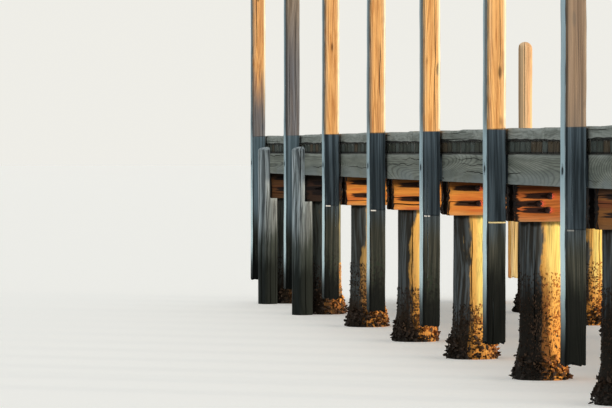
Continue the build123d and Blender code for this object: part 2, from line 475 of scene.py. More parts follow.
class PostFinish(TidalFinish):
    """Square posts: tan over the deck, silver on the outer face, and slate below the deck, the slate being
    painted shade from the deck and the piles.
    """

    tide_top = 1.05
    tide_foot = 0.74
    weed = (0.007, 0.008, 0.007)
    slime = (0.004, 0.005, 0.004)
    cover = 0.96
    tide_drop = 0.30
    tide_drop_from = (4.6, 4.0)
    lines = Noise((0.5, 34.0, 34.0))
    # Slate below the deck: painted shade from the deck and the piles, darker just under the deck.
    slate = Pair((0.056, 0.074, 0.085), (0.218, 0.280, 0.316))
    under_deck = (1.95, 1.7)
    under_shade = Shade(0.3, 0.45)
    # Darker colours under the crosshead: painted shadow of the pile, fading down towards the water.
    painted_shade = Pair((0.029, 0.032, 0.026), (0.072, 0.073, 0.058), (0.40, 0.66))
    pile_shadow_fade = (1.29, 1.05)
    pile_shadow_darken = Shade(0.55)
    pile_shadow_top = (1.290, 1.278)
    mottles = Noise((34.0, 34.0, 22.0), 4.0, 0.7)
    mottle_top = (1.05, 0.5)
    mottle_shade = Shade(0.25, 0.8)
    moss = Coat((0.020, 0.036, 0.020), 0.6)
    moss_top = (0.95, 0.7)
    moss_foot = (0.35, 0.55)
    # Even grey below the deck on posts wholly in cast shade: painted shade.
    even = Pair((0.17, 0.23, 0.25), (0.30, 0.39, 0.43))
    even_amount = 0.85
    even_foot = (0.8, 1.3)
    # Cool and warm greys over the deck where a post is in cast shade: painted shade.
    ash = Pair((0.070, 0.085, 0.100), (0.130, 0.158, 0.190), (0.35, 0.65))
    warm_ash = Pair((0.130, 0.115, 0.095), (0.25, 0.215, 0.175), (0.35, 0.65))
    ash_amount = 0.92
    warm_rise = (2.7, 3.7)
    # Duller tan for the low-toned post 0: painted shade.
    dull = Pair((0.15, 0.12, 0.095), (0.34, 0.255, 0.185), (0.3, 0.7))
    dull_amount = 0.9
    # The painted shade below the deck starts at the kerb's top.
    deck_shadow_edge = (2.030, 2.018)
    inward_shade = Shade(0.4, 0.5)
    # Weathered silver, tinted blue as painted skylight; low down a near-white painted sky reflection.
    silver = Pair((0.27, 0.30, 0.31), (0.46, 0.60, 0.64), (0.28, 0.5))
    silver_amount = 0.95
    silver_foot = (0.35, 1.1)
    sheen = Coat((0.82, 1.0, 1.0))
    sheen_top = (1.7, 1.2)
    band = (0.455, 0.520)
    band_foot = (1.9, 2.2)
    band_end = (6.8, 6.4)
    band_shade = Shade(0.22, 0.85)
    lane = (-1.654, -1.664)
    lane_shade = Shade(0.3, 0.7)
    ledge_foot = (1.266, 1.269)
    ledge_top = (1.281, 1.278)
    ledge_start = (-1.668, -1.660)
    ledge_stop = (-1.609, -1.617)
    ledge_pale = (1.0, 0.97, 0.92)
    ledge_gold = (1.0, 0.80, 0.40)
    ledge_amount = 0.95
    wide_ledge = ((4.0, 4.2), (6.6, 6.4))
    faint_ledge = ((6.6, 6.9), (-4.6, -4.4))
    faint_share = 0.8
    rim = (-1.541, -1.534)
    rim_foot = (2.03, 2.06)
    glare = Coat((1.0, 0.88, 0.60), 0.92)
    top_shade = Shade(0.22)
    end_grain = Coat((0.10, 0.085, 0.07))

    def below(self, streak: Wire) -> Wire:
        """Colour of a post below the deck: slate of painted shade, darker painted shadow below the
        crosshead, then mottled and mossy.

        Args:
            streak: the noise that the colours run in.

        Returns:
            The colour.
        """
        board, height = self.board, self.height
        slate = self.shade(self.paired(streak, self.slate), height.step(*self.under_deck), self.under_shade)
        level = height + streak.sway(0.3)
        # Under the crosshead the slate darkens into painted shadow of the pile.
        dark = self.shade(slate, 1.0, self.pile_shadow_darken)
        painted_shade = board.blend(level.step(*self.pile_shadow_fade), dark, self.paired(streak, self.painted_shade))
        colour = board.blend(height.step(*self.pile_shadow_top), slate, painted_shade)
        mottle = board.noise(self.spot, self.mottles)
        mottled = mottle.step(0.46, 0.58) * height.step(*self.mottle_top)
        colour = self.shade(colour, mottled, self.mottle_shade)
        mossy = mottle.step(0.50, 0.38) * height.step(*self.moss_top) * height.step(*self.moss_foot)
        colour = self.coat(colour, mossy, self.moss)
        even = self.grey.step(2.3, 2.6) * height.step(*self.even_foot)
        return board.blend(even * self.even_amount, colour, self.paired(streak, self.even))

    def above(self, colour: Wire, streak: Wire, cast_shade: Wire) -> Wire:
        """Colour of a post over the deck: cool to warm grey where it is painted as in cast shade, and a
        duller painted shade on the dark posts.

        Args:
            colour: the bare timber's colour.
            streak: the noise that the colours run in.
            cast_shade: where the post is in painted cast shade.

        Returns:
            The colour.
        """
        board = self.board
        cold, warm = self.paired(streak, self.ash), self.paired(streak, self.warm_ash)
        ash = board.blend(self.height.step(*self.warm_rise), cold, warm)
        colour = board.blend(cast_shade * self.ash_amount, colour, ash)
        dull = self.tone.step(0.35, 0.1) * self.dull_amount
        return board.blend(dull, colour, self.paired(streak, self.dull))

    def outer_face(self, streak: Wire) -> Wire:
        """Colour of a post's outer face: silver weathering tinted with painted blue skylight, a painted
        sheen low down, and a dark band beside the shore arris over the deck.
        """
        pale = self.coat(self.paired(streak, self.silver), self.height.step(*self.sheen_top), self.sheen)
        beside = ((self.along - HEAD_BENT_X) * (math.tau / BAY)).wave()
        band = beside.step(*self.band) * self.height.step(*self.band_foot) * self.along.step(*self.band_end)
        return self.shade(pale, band, self.band_shade)

    def ledge(self, colour: Wire, front: Wire) -> Wire:
        """Add the thin lit line at the foot of the slate.

        Args:
            colour: the post's colour.
            front: where the post faces the shore.

        Returns:
            The colour with the line.
        """
        along, across, height = self.along, self.across, self.height
        wide = along.step(*self.wide_ledge[0]) * along.step(*self.wide_ledge[1])
        line = height.step(*self.ledge_foot) * height.step(*self.ledge_top) * front
        line = line * across.step(*self.ledge_start) * across.step(*self.ledge_stop).most(wide)
        near, far = self.faint_ledge
        faint = (1.0 - along.step(*near) * self.faint_share) * along.step(*far)
        light = self.board.blend(wide, self.ledge_pale, self.ledge_gold)
        return self.board.blend(line * faint * self.ledge_amount, colour, light)

    def weather(self, colour: Wire) -> Wire:
        """Add the slate of painted shade below the deck, silver, the tide and the dark top."""
        board, height = self.board, self.height
        streak = self.veins(self.lines)
        # Where a post stands in a cast shade from things outside the model: painted shade.
        cast_shade = (height - self.grey + streak.sway(0.9)).step(0.3, -0.4)
        level = height + streak.sway(0.012)
        colour = self.above(colour, streak, cast_shade)
        # Below the kerb's top the post takes the slate of painted shade.
        colour = board.blend(level.step(*self.deck_shadow_edge), colour, self.below(streak))
        colour = self.shade(colour, self.facing_y.step(0.8, 0.95), self.inward_shade)
        outer = self.facing_y.step(-0.4, -0.9)
        colour = board.blend(outer * self.silver_amount, colour, self.outer_face(streak))
        tidal = self.tide(colour, self.along.step(*self.tide_drop_from) * self.tide_drop)
        colour = board.blend(outer * height.step(*self.silver_foot), tidal, colour)
        front = self.facing_x.step(0.3, 0.6)
        colour = self.shade(colour, self.across.step(*self.lane) * front, self.lane_shade)
        colour = self.ledge(colour, front)
        lit = height.step(*self.rim_foot) * (1.0 - cast_shade) * self.tone.step(0.1, 0.3)
        colour = self.coat(colour, self.across.step(*self.rim) * front * lit, self.glare)
        colour = self.shade(colour, self.top, self.top_shade)
        return self.coat(colour, self.facing_z.step(0.6, 0.9), self.end_grain)


class FarPostFinish(TidalFinish):
    """Short fender posts on the far side: cream and tan down to a dark foot."""

    tide_top = 0.30
    tide_foot = 0.10
    bleach_and_painted_light = Coat((0.56, 0.49, 0.38), 0.85)
    top_shade = Shade(0.3)

    def weather(self, colour: Wire) -> Wire:
        """Add the bleach on the outer face, the tide and the dark top."""
        colour = self.coat(colour, self.facing_y.step(0.5, 0.9), self.bleach_and_painted_light)
        return self.shade(self.tide(colour), self.top, self.top_shade)


class PileFinish(TidalFinish):
    """Round piles: golden brown, with painted shade in blue-grey on the seaward half and all round the
    piles in cast shade, and the brown crust of shells low down.
    """

    tide_top = 0.72
    tide_foot = 0.24
    weed = (0.72, 0.33, 0.07)
    slime = (0.30, 0.12, 0.035)
    row = 1.2
    radius = 0.175
    shoreward = (4.0, 4.6)
    stripes = Noise((0.35, 9.0, 9.0))
    stripe = Coat((0.15, 0.145, 0.125), 0.6)
    blades = Noise((0.5, 14.0, 14.0))
    wanders = Noise((2.6, 6.0, 6.0), 4.0, 0.6)
    wander_sway = 1.1
    dark_blade_sway = 0.9
    dark_tone = (0.55, 0.5)
    dark_amount = 0.97
    threads = Noise((0.8, 30.0, 30.0))
    blue = Pair((0.032, 0.039, 0.040), (0.135, 0.165, 0.178), (0.40, 0.62))
    blue_grey = Coat((0.150, 0.180, 0.168), 0.8)
    blue_foot = Coat((0.014, 0.014, 0.012))
    blue_foot_edge = (0.50, 0.15)
    blue_foot_drop = 0.45
    tan = Coat((0.66, 0.45, 0.18), 0.7)
    orange = Coat((1.0, 0.52, 0.13), 0.8)
    blade_sway = 0.5
    crust_edge = (1.02, 0.62)
    crust = Coat((0.80, 0.36, 0.075), 0.6)
    flecks = Noise((80.0, 80.0, 22.0), 4.0, 0.7)
    rises = Noise((1.3, 6.0, 6.0), 2.0)
    fleck_edge = (0.64, 0.12)
    fleck_drop = 0.38
    golden = Coat((0.78, 0.32, 0.060), 0.75)
    brown = Coat((0.13, 0.050, 0.017), 0.85)
    black = Coat((0.060, 0.026, 0.013), 0.85)
    under_cap = (1.235, 1.265)
    under_cap_shade = Shade(0.12, 0.9)

    def dark_side(self, blade: Wire, shoreward: Wire) -> Wire:
        """Colour of the painted shade on a pile's seaward half: blue-grey threads, black at the foot."""
        thread = self.veins(self.threads)
        blue = self.paired(thread, self.blue)
        blue = self.coat(blue, self.grey * thread.step(0.35, 0.55), self.blue_grey)
        depth = self.height + blade.sway(self.blade_sway) - shoreward * self.blue_foot_drop
        return self.coat(blue, depth.step(*self.blue_foot_edge), self.blue_foot)

    def weather(self, colour: Wire) -> Wire:
        """Add the painted shade of the seaward half, edged in tongues, darker tan on the +Y side, the
        crust's brown and its dark flecks.
        """
        board, height = self.board, self.height
        blade, wander = self.veins(self.blades), self.veins(self.wanders)
        shoreward = self.along.step(*self.shoreward)
        row = (self.across.step(-0.1, 0.1) * 2.0 - 1.0) * self.row
        turned = (self.across - row) / self.radius
        tone_middle, tone_sway = self.dark_tone
        bound = turned + blade.sway(self.dark_blade_sway) + wander.sway(self.wander_sway)
        bound = bound + (self.tone - tone_middle) * tone_sway
        # Where the painted shade of the seaward half lies, spread all round on piles in cast shade.
        outer = bound.step(-0.22, -0.38).most(self.grey * blade.step(0.25, 0.5))
        colour = self.coat(colour, self.veins(self.stripes).step(0.58, 0.68), self.stripe)
        # Darker tan on the +Y side, which faces the key lamp: painted shade.
        colour = self.coat(colour, turned.step(0.80, 1.0), self.tan)
        colour = self.coat(colour, turned.step(0.10, -0.15), self.orange)
        colour = self.tide(colour)
        crusted = (height + blade.sway(self.blade_sway)).step(*self.crust_edge) * shoreward
        colour = self.coat(colour, crusted, self.crust)
        flecks = board.noise(self.spot, self.flecks)
        rise = self.veins(self.rises).sway(0.6)
        reach = height + rise + turned * 0.40 - shoreward * self.fleck_drop
        reach = reach.step(*self.fleck_edge)
        colour = self.coat(colour, flecks.step(0.42, 0.50) * reach, self.golden)
        brown = (turned + wander.sway(self.wander_sway) + blade.sway(self.blade_sway)).step(0.32, 0.10)
        colour = self.coat(colour, brown * crusted, self.brown)
        colour = self.coat(colour, flecks.step(0.53, 0.60) * reach, self.black)
        # The seaward half takes its painted shade.
        colour = board.blend(outer * self.dark_amount, colour, self.dark_side(blade, shoreward))
        under_cap = (height + blade.sway(0.06)).step(*self.under_cap)
        return self.shade(colour, under_cap, self.under_cap_shade)


class FenderPileFinish(TidalFinish):
    """Round fender piles at the head: pale grey fluted sapwood, green-black below."""

    tide_top = 1.08
    tide_foot = 0.74
    weed = (0.020, 0.026, 0.018)
    slime = (0.008, 0.010, 0.008)
    flutes = Noise((0.25, 26.0, 26.0), 3.0, 0.6)
    hollow_shade = Shade(0.22, 0.8)
    crest_pale = Coat((0.66, 0.76, 0.78), 0.6)
    landward_top = (1.40, 1.20)
    landward_shade = Shade(0.25, 0.8)

    def weather(self, colour: Wire) -> Wire:
        """Add pale and dark flutes, painted shade on the landward side and the tide."""
        flute = self.veins(self.flutes)
        colour = self.shade(colour, flute.step(0.52, 0.62), self.hollow_shade)
        colour = self.coat(colour, flute.step(0.44, 0.36), self.crest_pale)
        landward = self.facing_y.step(-0.3, 0.2) * self.height.step(*self.landward_top)
        return self.tide(self.shade(colour, landward, self.landward_shade))


class MooringPoleFinish(FenderPileFinish):
    """Mooring poles: tan, with painted light on the seaward side and a painted shade line at its edge."""

    # Pale on the seaward side: painted light. Brown at its outer edge: painted shade.
    bleach_and_painted_light = Coat((1.0, 0.66, 0.36), 0.95)
    brown = Coat((0.50, 0.29, 0.15), 0.8)

    def weather(self, colour: Wire) -> Wire:
        """Add painted light on the seaward side with a painted shade line at its edge, and the tide."""
        colour = self.coat(colour, self.facing_y.step(0.15, -0.2), self.bleach_and_painted_light)
        return self.tide(self.coat(colour, self.facing_y.step(-0.80, -0.95), self.brown))


class StringerFinish(TimberFinish):
    """Stringers: silver green-grey with wide cathedral figure, bluer towards the lower arris."""

    clouds = Noise((1.5, 4.0, 4.0), 2.0)
    low = (1.74, 1.60)
    blue = Coat((0.215, 0.245, 0.245), 0.55)
    shadow_edge = (1.814, 1.822)
    shadow = Shade(0.2)
    # Darker inner faces and underside, in under the deck: painted shade.
    painted_shade = Coat((0.05, 0.045, 0.035), 0.6)

    def weather(self, colour: Wire) -> Wire:
        """Add the blue cast on the outer faces and painted shade on the inner faces and the underside."""
        cloud = self.veins(self.clouds)
        colour = self.coat(colour, self.height.step(*self.low) * cloud.step(0.35, 0.6), self.blue)
        level = self.height + cloud.sway(0.02)
        colour = self.shade(colour, level.step(*self.shadow_edge), self.shadow)
        inner = 1.0 - (self.facing_y * self.across).step(0.5, 1.2)
        return self.coat(colour, inner.most(self.facing_z.step(-0.4, -0.9)), self.painted_shade)


class DeckFinish(TimberFinish):
    """Deck planks: silver-brown walked tops and dark olive ends."""

    ribs = Noise((42.0, 1.0, 6.0), 2.0)
    end_grain = Pair((0.036, 0.042, 0.032), (0.070, 0.083, 0.074), (0.45, 0.9))
    brown = Coat((0.074, 0.052, 0.030), 0.8)
    lath = Coat((0.092, 0.098, 0.072), 0.5)
    edge_shade = Shade(0.15)
    groove_shade = Shade(0.3, 0.7)
    foot = (1.846, 1.838)
    crown = (1.918, 1.926)
    walked = Coat((0.42, 0.39, 0.33), 0.35)
    # Darker undersides of the planks: painted shade.
    underside = Coat((0.06, 0.052, 0.042), 0.75)

    def weather(self, colour: Wire) -> Wire:
        """Add the end grain with painted shadow lines at its top and foot, the walked strip and painted
        shade on the underside.
        """
        rib = self.board.noise(self.spot, self.ribs)
        end = self.paired(self.tone, self.end_grain)
        end = self.coat(end, self.tone.step(0.32, 0.12), self.brown)
        end = self.coat(end, rib.step(0.60, 0.70), self.lath)
        end = self.shade(end, self.edge, self.edge_shade)
        end = self.shade(end, rib.step(0.44, 0.34), self.groove_shade)
        # Near-black lines at the top and foot of the plank ends: dark joints with painted shadow under the
        # kerb and over the stringer.
        seam_shadows = self.height.step(*self.foot).most(self.height.step(*self.crown))
        end = self.shade(end, seam_shadows, self.edge_shade)
        colour = self.coat(colour, self.across.size().step(0.9, 0.3), self.walked)
        # The undersides take painted shade.
        colour = self.coat(colour, self.facing_z.step(-0.4, -0.9), self.underside)
        return self.board.blend(self.facing_y.size().step(0.3, 0.6), colour, end)


class KerbFinish(TimberFinish):
    """Kerbs: rough silver green-grey with lichen."""

    saw_marks = Noise((26.0, 26.0, 9.0), 3.0, 0.6)
    sawn_shade = Shade(0.45, 0.45)
    wane = Noise((1.6, 1.6, 0.0), 3.0, 0.6)
    foot = (1.948, 1.942)
    foot_shade = Shade(0.05)
    spots = Noise((24.0, 24.0, 24.0), 4.0, 0.7)
    fields = Noise((1.3, 3.0, 3.0), 2.0)
    lichen = Coat((0.40, 0.42, 0.33), 0.6)

    def weather(self, colour: Wire) -> Wire:
        """Add saw marks, the shadow at the foot, and lichen in small patches."""
        noises = (self.saw_marks, self.wane, self.spots, self.fields)
        sawn, wane, spots, fields = (self.board.noise(self.spot, noise) for noise in noises)
        colour = self.shade(colour, sawn.step(0.5, 0.72), self.sawn_shade)
        foot = (self.height + wane.sway(0.05)).step(*self.foot)
        colour = self.shade(colour, foot, self.foot_shade)
        return self.coat(colour, spots.step(0.58, 0.68) * fields.step(0.45, 0.6), self.lichen)


class CrossheadFinish(TimberFinish):
    """Half-caps: red-brown hardwood, with a painted black shadow drawn out along the grain from each bolt.
    """

    bands = Noise((0.5, 12.0, 26.0))
    band_shade = Shade(0.3, 0.5)
    reds = Noise((1.6, 6.0, 14.0), 2.0)
    red = Coat((0.60, 0.105, 0.030), 0.6)
    feathers = Noise((5.0, 90.0, 90.0))
    finger_lines = Noise((1.6, 55.0, 55.0))
    eaves = (1.495, 1.545)
    eaves_shade = Shade(0.2, 0.85)
    # Near-black for half-caps in cast shade: painted shadow.
    cast_shade = Coat((0.019, 0.016, 0.015), 0.97)
    end_reach = 1.466
    end_draw = 0.2
    end_edge = 0.016
    end_band = (1.476, 1.480)
    gap = (0.9890, 0.9915)
    end_black = Coat((0.014, 0.012, 0.011), 0.98)
    # A black painted shadow trails outwards along the grain from each bolt.
    bolt_shadow_length = 0.235
    bolt_shadow_width = 0.027
    bolt_shadow_taper = 0.35
    bolt_shadow_least = 0.001
    bolt_shadow = Coat((0.010, 0.008, 0.009), 0.96)
    # A painted red highlight on the timber beside each bolt, on its inner side.
    bolt_glint_inset = 0.030
    bolt_glint_edge = (0.030, 0.014)
    bolt_glint = Coat((0.85, 0.12, 0.05), 0.32)

    def __init__(self, name: str, grain: Grain, bolts: Sequence[Span], fingers: float) -> None:
        """Keep the bolts."""
        super().__init__(name, grain)
        self.bolts = bolts
        self.fingers = fingers

    def mark(self, bolt: Span, reach: Wire, feather: Wire) -> Wire:
        """Where the painted black shadow of a bolt lies.

        Args:
            bolt: the bolt's distance from the middle line and its height.
            reach: distance from the middle line.
            feather: the noise that frays the shadow.

        Returns:
            A mask.
        """
        outward = (reach - bolt[0]) / self.bolt_shadow_length
        taper = 1.0 - outward.most(0.0) * outward * self.bolt_shadow_taper
        width = (self.height - bolt[1]).size() / (taper * self.bolt_shadow_width).most(self.bolt_shadow_least)
        body = (width + feather.sway(0.6)).step(1.2, 0.8)
        tip = (outward + feather.sway(0.9)).step(1.0, 0.82)
        return body * outward.step(-0.12, -0.02) * tip

    def halo(self, bolt: Span, reach: Wire, feather: Wire) -> Wire:
        """Where the painted red highlight beside a bolt lies."""
        aside, above = reach - (bolt[0] - self.bolt_glint_inset), self.height - bolt[1]
        away = (aside * aside + above * above) ** 0.5 + feather.sway(0.02)
        return away.step(*self.bolt_glint_edge)

    def weather(self, colour: Wire) -> Wire:
        """Add dark bands, painted shade under the stringers, on the ends and in the gap between the
        half-caps, painted shadow on the bents in cast shade, and each bolt's painted highlight and shadow.
        """
        reach = self.across.size()
        feather, finger = self.veins(self.feathers), self.veins(self.finger_lines)
        colour = self.shade(colour, self.veins(self.bands).step(0.54, 0.74), self.band_shade)
        colour = self.coat(colour, self.veins(self.reds).step(0.5, 0.68), self.red)
        eaves = (self.height + finger.sway(0.05)).step(*self.eaves)
        colour = self.shade(colour, eaves, self.eaves_shade)
        # Near-black over the bents in cast shade: painted shadow.
        colour = self.coat(colour, self.grey, self.cast_shade)
        # Near-black on the ends, where the post's shadow falls, and on the faces in the gap between the
        # half-caps: dark end grain with painted shade.
        start = self.end_reach - self.fingers * self.end_draw
        ends = (reach + finger.sway(self.fingers)).step(start, start + self.end_edge)
        ends = ends.most(reach.step(*self.end_band)).most(self.facing_y.size().step(0.3, 0.5))
        middle = ((self.along - HEAD_BENT_X) * (math.tau / BAY) + math.pi / 2).wave()
        colour = self.coat(colour, ends.most(middle.step(*self.gap)), self.end_black)
        # Each bolt's painted red highlight.
        for bolt in self.bolts:
            colour = self.coat(colour, self.halo(bolt, reach, feather), self.bolt_glint)
        # The bolts' painted shadows.
        marks = (self.mark(bolt, reach, feather) for bolt in self.bolts)
        return self.coat(colour, reduce(Wire.most, marks), self.bolt_shadow)


@dataclass(frozen=True)
class IronFinish:
    """Rusted iron of the bolts, nuts, washers and spikes, with a painted red highlight of lit rust on the
    arrises that face +Y.
    """

    name: str = "rusted_iron"
    scale: Noise = Noise((55.0, 55.0, 55.0), 4.0, 0.65)
    pits: Noise = Noise((300.0, 300.0, 300.0), 3.0, 0.6)
    iron: Pair = Pair((0.026, 0.016, 0.014), (0.085, 0.032, 0.020), (0.40, 0.62))
    lit_rust: Colour = (0.80, 0.12, 0.055)
    lit_rust_from: Span = (0.30, 0.80)
    lit_rust_to: Span = (0.97, 0.88)
    lit_rust_fray: float = 0.5
    roughness: Span = (0.55, 0.4)
    relief_shares: Span = (0.6, 0.4)
    relief_depth: float = 0.0015
    metallic: float = 0.25

    def build(self) -> Material:
        """Wire the finish.

        Returns:
            The material.
        """
        board = Board(bpy.data.materials.new(self.name))
        spot = board.spot()
        scale, pits = board.noise(spot, self.scale), board.noise(spot, self.pits)
        _, facing_y, _ = board.facing().parts()
        # Red rust painted only on arrises facing +Y, towards the key lamp: lit rust as a painted highlight.
        arris = (facing_y + scale * self.lit_rust_fray).step(*self.lit_rust_from) * facing_y.step(*self.lit_rust_to)
        colour = board.blend(scale.step(*self.iron.turn), self.iron.dark, self.iron.pale)
        colour = board.blend(arris, colour, self.lit_rust)
        smooth, gain = self.roughness
        by_scale, by_pits = self.relief_shares
        relief = scale * by_scale + pits * by_pits
        board.finish(colour, smooth + scale * gain, relief, self.relief_depth, {"Metallic": self.metallic})
        return board.owner


@dataclass(frozen=True)
class ShellFinish:
    """Oysters, mussels and weed in the crust at the foot of the piles."""

    name: str = "shell_crust"
    stops: tuple[tuple[float, Colour], ...] = (
        (0.0, (0.018, 0.013, 0.010)), (0.30, (0.075, 0.036, 0.014)), (0.50, (0.420, 0.145, 0.034)),
        (0.75, (0.82, 0.35, 0.070)), (1.0, (0.98, 0.60, 0.18))
    )
    grit: Noise = Noise((90.0, 90.0, 90.0), 4.0, 0.65)
    tone_share: float = 0.85
    grit_share: float = 0.3
    darker: float = 0.08
    foot: Coat = Coat((0.014, 0.012, 0.010), 0.7)
    foot_edge: Span = (0.13, 0.02)
    roughness: Span = (0.5, 0.4)
    relief_depth: float = 0.004
    specular: float = 0.22

    def build(self) -> Material:
        """Wire the finish.

        Returns:
            The material.
        """
        board = Board(bpy.data.materials.new(self.name))
        spot = board.spot()
        grit = board.noise(spot, self.grit)
        mixed = board.attribute("tone") * self.tone_share + grit * self.grit_share - self.darker
        colour = board.node("ShaderNodeValToRGB", {"stops": self.stops}, {"Fac": mixed}, "Color")
        _, _, height = spot.parts()
        colour = board.blend(height.step(*self.foot_edge) * self.foot.amount, colour, self.foot.colour)
        smooth, gain = self.roughness
        shine = {"Specular IOR Level": self.specular}
        board.finish(colour, smooth + grit * gain, grit, self.relief_depth, shine)
        return board.owner


# Meshes


@dataclass
class Ripple:
    """A smooth random line: sines of about halving length and height."""

    rng: Dice
    height: float
    wave: float
    octaves: int = 3
    fall: float = 0.55
    share: float = 0.6
    spread: Span = (0.8, 1.3)
    phases: Array = field(init=False)
    stretch: Array = field(init=False)

    def __post_init__(self) -> None:
        """Draw the phases and lengths."""
        self.phases = self.rng.uniform(0.0, math.tau, self.octaves)
        self.stretch = self.rng.uniform(*self.spread, self.octaves)

    def at(self, along: Array) -> Array:
        """Height of the line at places along it."""
        total = np.zeros_like(along)
        for octave in range(self.octaves):
            turns = along * 2**octave * self.stretch[octave] / self.wave
            total += np.sin(math.tau * turns + self.phases[octave]) * self.fall**octave
        return total * self.height * self.share


@dataclass
class Check:
    """A drying split along the grain, with a place round the section and a reach along the timber."""

    place: float
    start: float
    end: float
    width: float
    depth: float
    drift: Ripple

    def opening(self, along: Array) -> Array:
        """How far open the split is at each station, from 0 to 1."""
        share = np.clip((along - self.start) / (self.end - self.start), 0.0, 1.0)
        return np.sqrt(np.clip(4.0 * share * (1.0 - share), 0.0, 1.0))


def around(sides: int) -> list[tuple[int, int]]:
    """Each point round a ring with the one after it."""
    return [(point, (point + 1) % sides) for point in range(sides)]


def tube(rings: int, sides: int) -> list[Face]:
    """Faces between rings of points that follow each other."""
    rows = [(ring * sides, (ring + 1) * sides) for ring in range(rings - 1)]
    return [(low + c, low + n, high + n, high + c) for low, high in rows for c, n in around(sides)]


def volume_sign(points: Array, faces: list[Face]) -> float:
    """Sign of the volume that four-sided faces enclose."""
    quads = np.array([face for face in faces if len(face) == 4])
    a, b, c, d = (points[quads[:, i]] - points.mean(0) for i in range(4))
    return sum(np.einsum("ij,ij->i", a, np.cross(*pair)).sum() for pair in ((b, c), (c, d)))


@dataclass
class Shape:
    """Points, faces and point values of one mesh."""

    points: list[Array] = field(default_factory=list)
    faces: list[Face] = field(default_factory=list)
    values: dict[str, list[Array]] = field(default_factory=dict)
    count: int = 0

    def join(self, points: Array, faces: list[Face], **values: Array) -> None:
        """Add points and faces.

        Args:
            points: places, one row each.
            faces: point numbers of each face, from 0.
            values: an array for each point value.
        """
        start = self.count
        self.points.append(points)
        self.faces += [tuple(start + point for point in face) for face in faces]
        for name, value in values.items():
            self.values.setdefault(name, []).append(value)
        self.count += len(points)

    def object(self, name: str, material: Material, slot: Slot, smooth: float = 35.0) -> Piece:
        """Make the Blender object, riding on the root.

        Args:
            name: the piece's name.
            material: its finish.
            slot: the record's material slot; not used.
            smooth: faces that meet at less than this angle, in degrees, shade as one.

        Returns:
            The object.
        """
        mesh = bpy.data.meshes.new(name)
        mesh.from_pydata(np.concatenate(self.points).tolist(), [], self.faces)
        for key, arrays in self.values.items():
            data = np.concatenate(arrays).astype(np.float32)
            kind = "FLOAT_VECTOR" if data.ndim == 2 else "FLOAT"
            attribute = mesh.attributes.new(key, kind, "POINT")
            attribute.data.foreach_set("vector" if data.ndim == 2 else "value", data.ravel())
        mesh.shade_smooth()
        mesh.set_sharp_from_angle(angle=math.radians(smooth))
        mesh.materials.append(material)
        piece = bpy.data.objects.new(name, mesh)
        bpy.context.scene.collection.objects.link(piece)
        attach(piece, "root")
        LOG.info("%s: %d points, %d faces", name, len(mesh.vertices), len(mesh.polygons))
        return piece

    def stand_in(self, node: str, material: Material, slot: Slot, smooth: float = 35.0) -> Piece:
        """Make the object that replaces a CAD node."""
        piece = self.object(f"{node}_weathered", material, slot, smooth)
        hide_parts(node)
        return piece


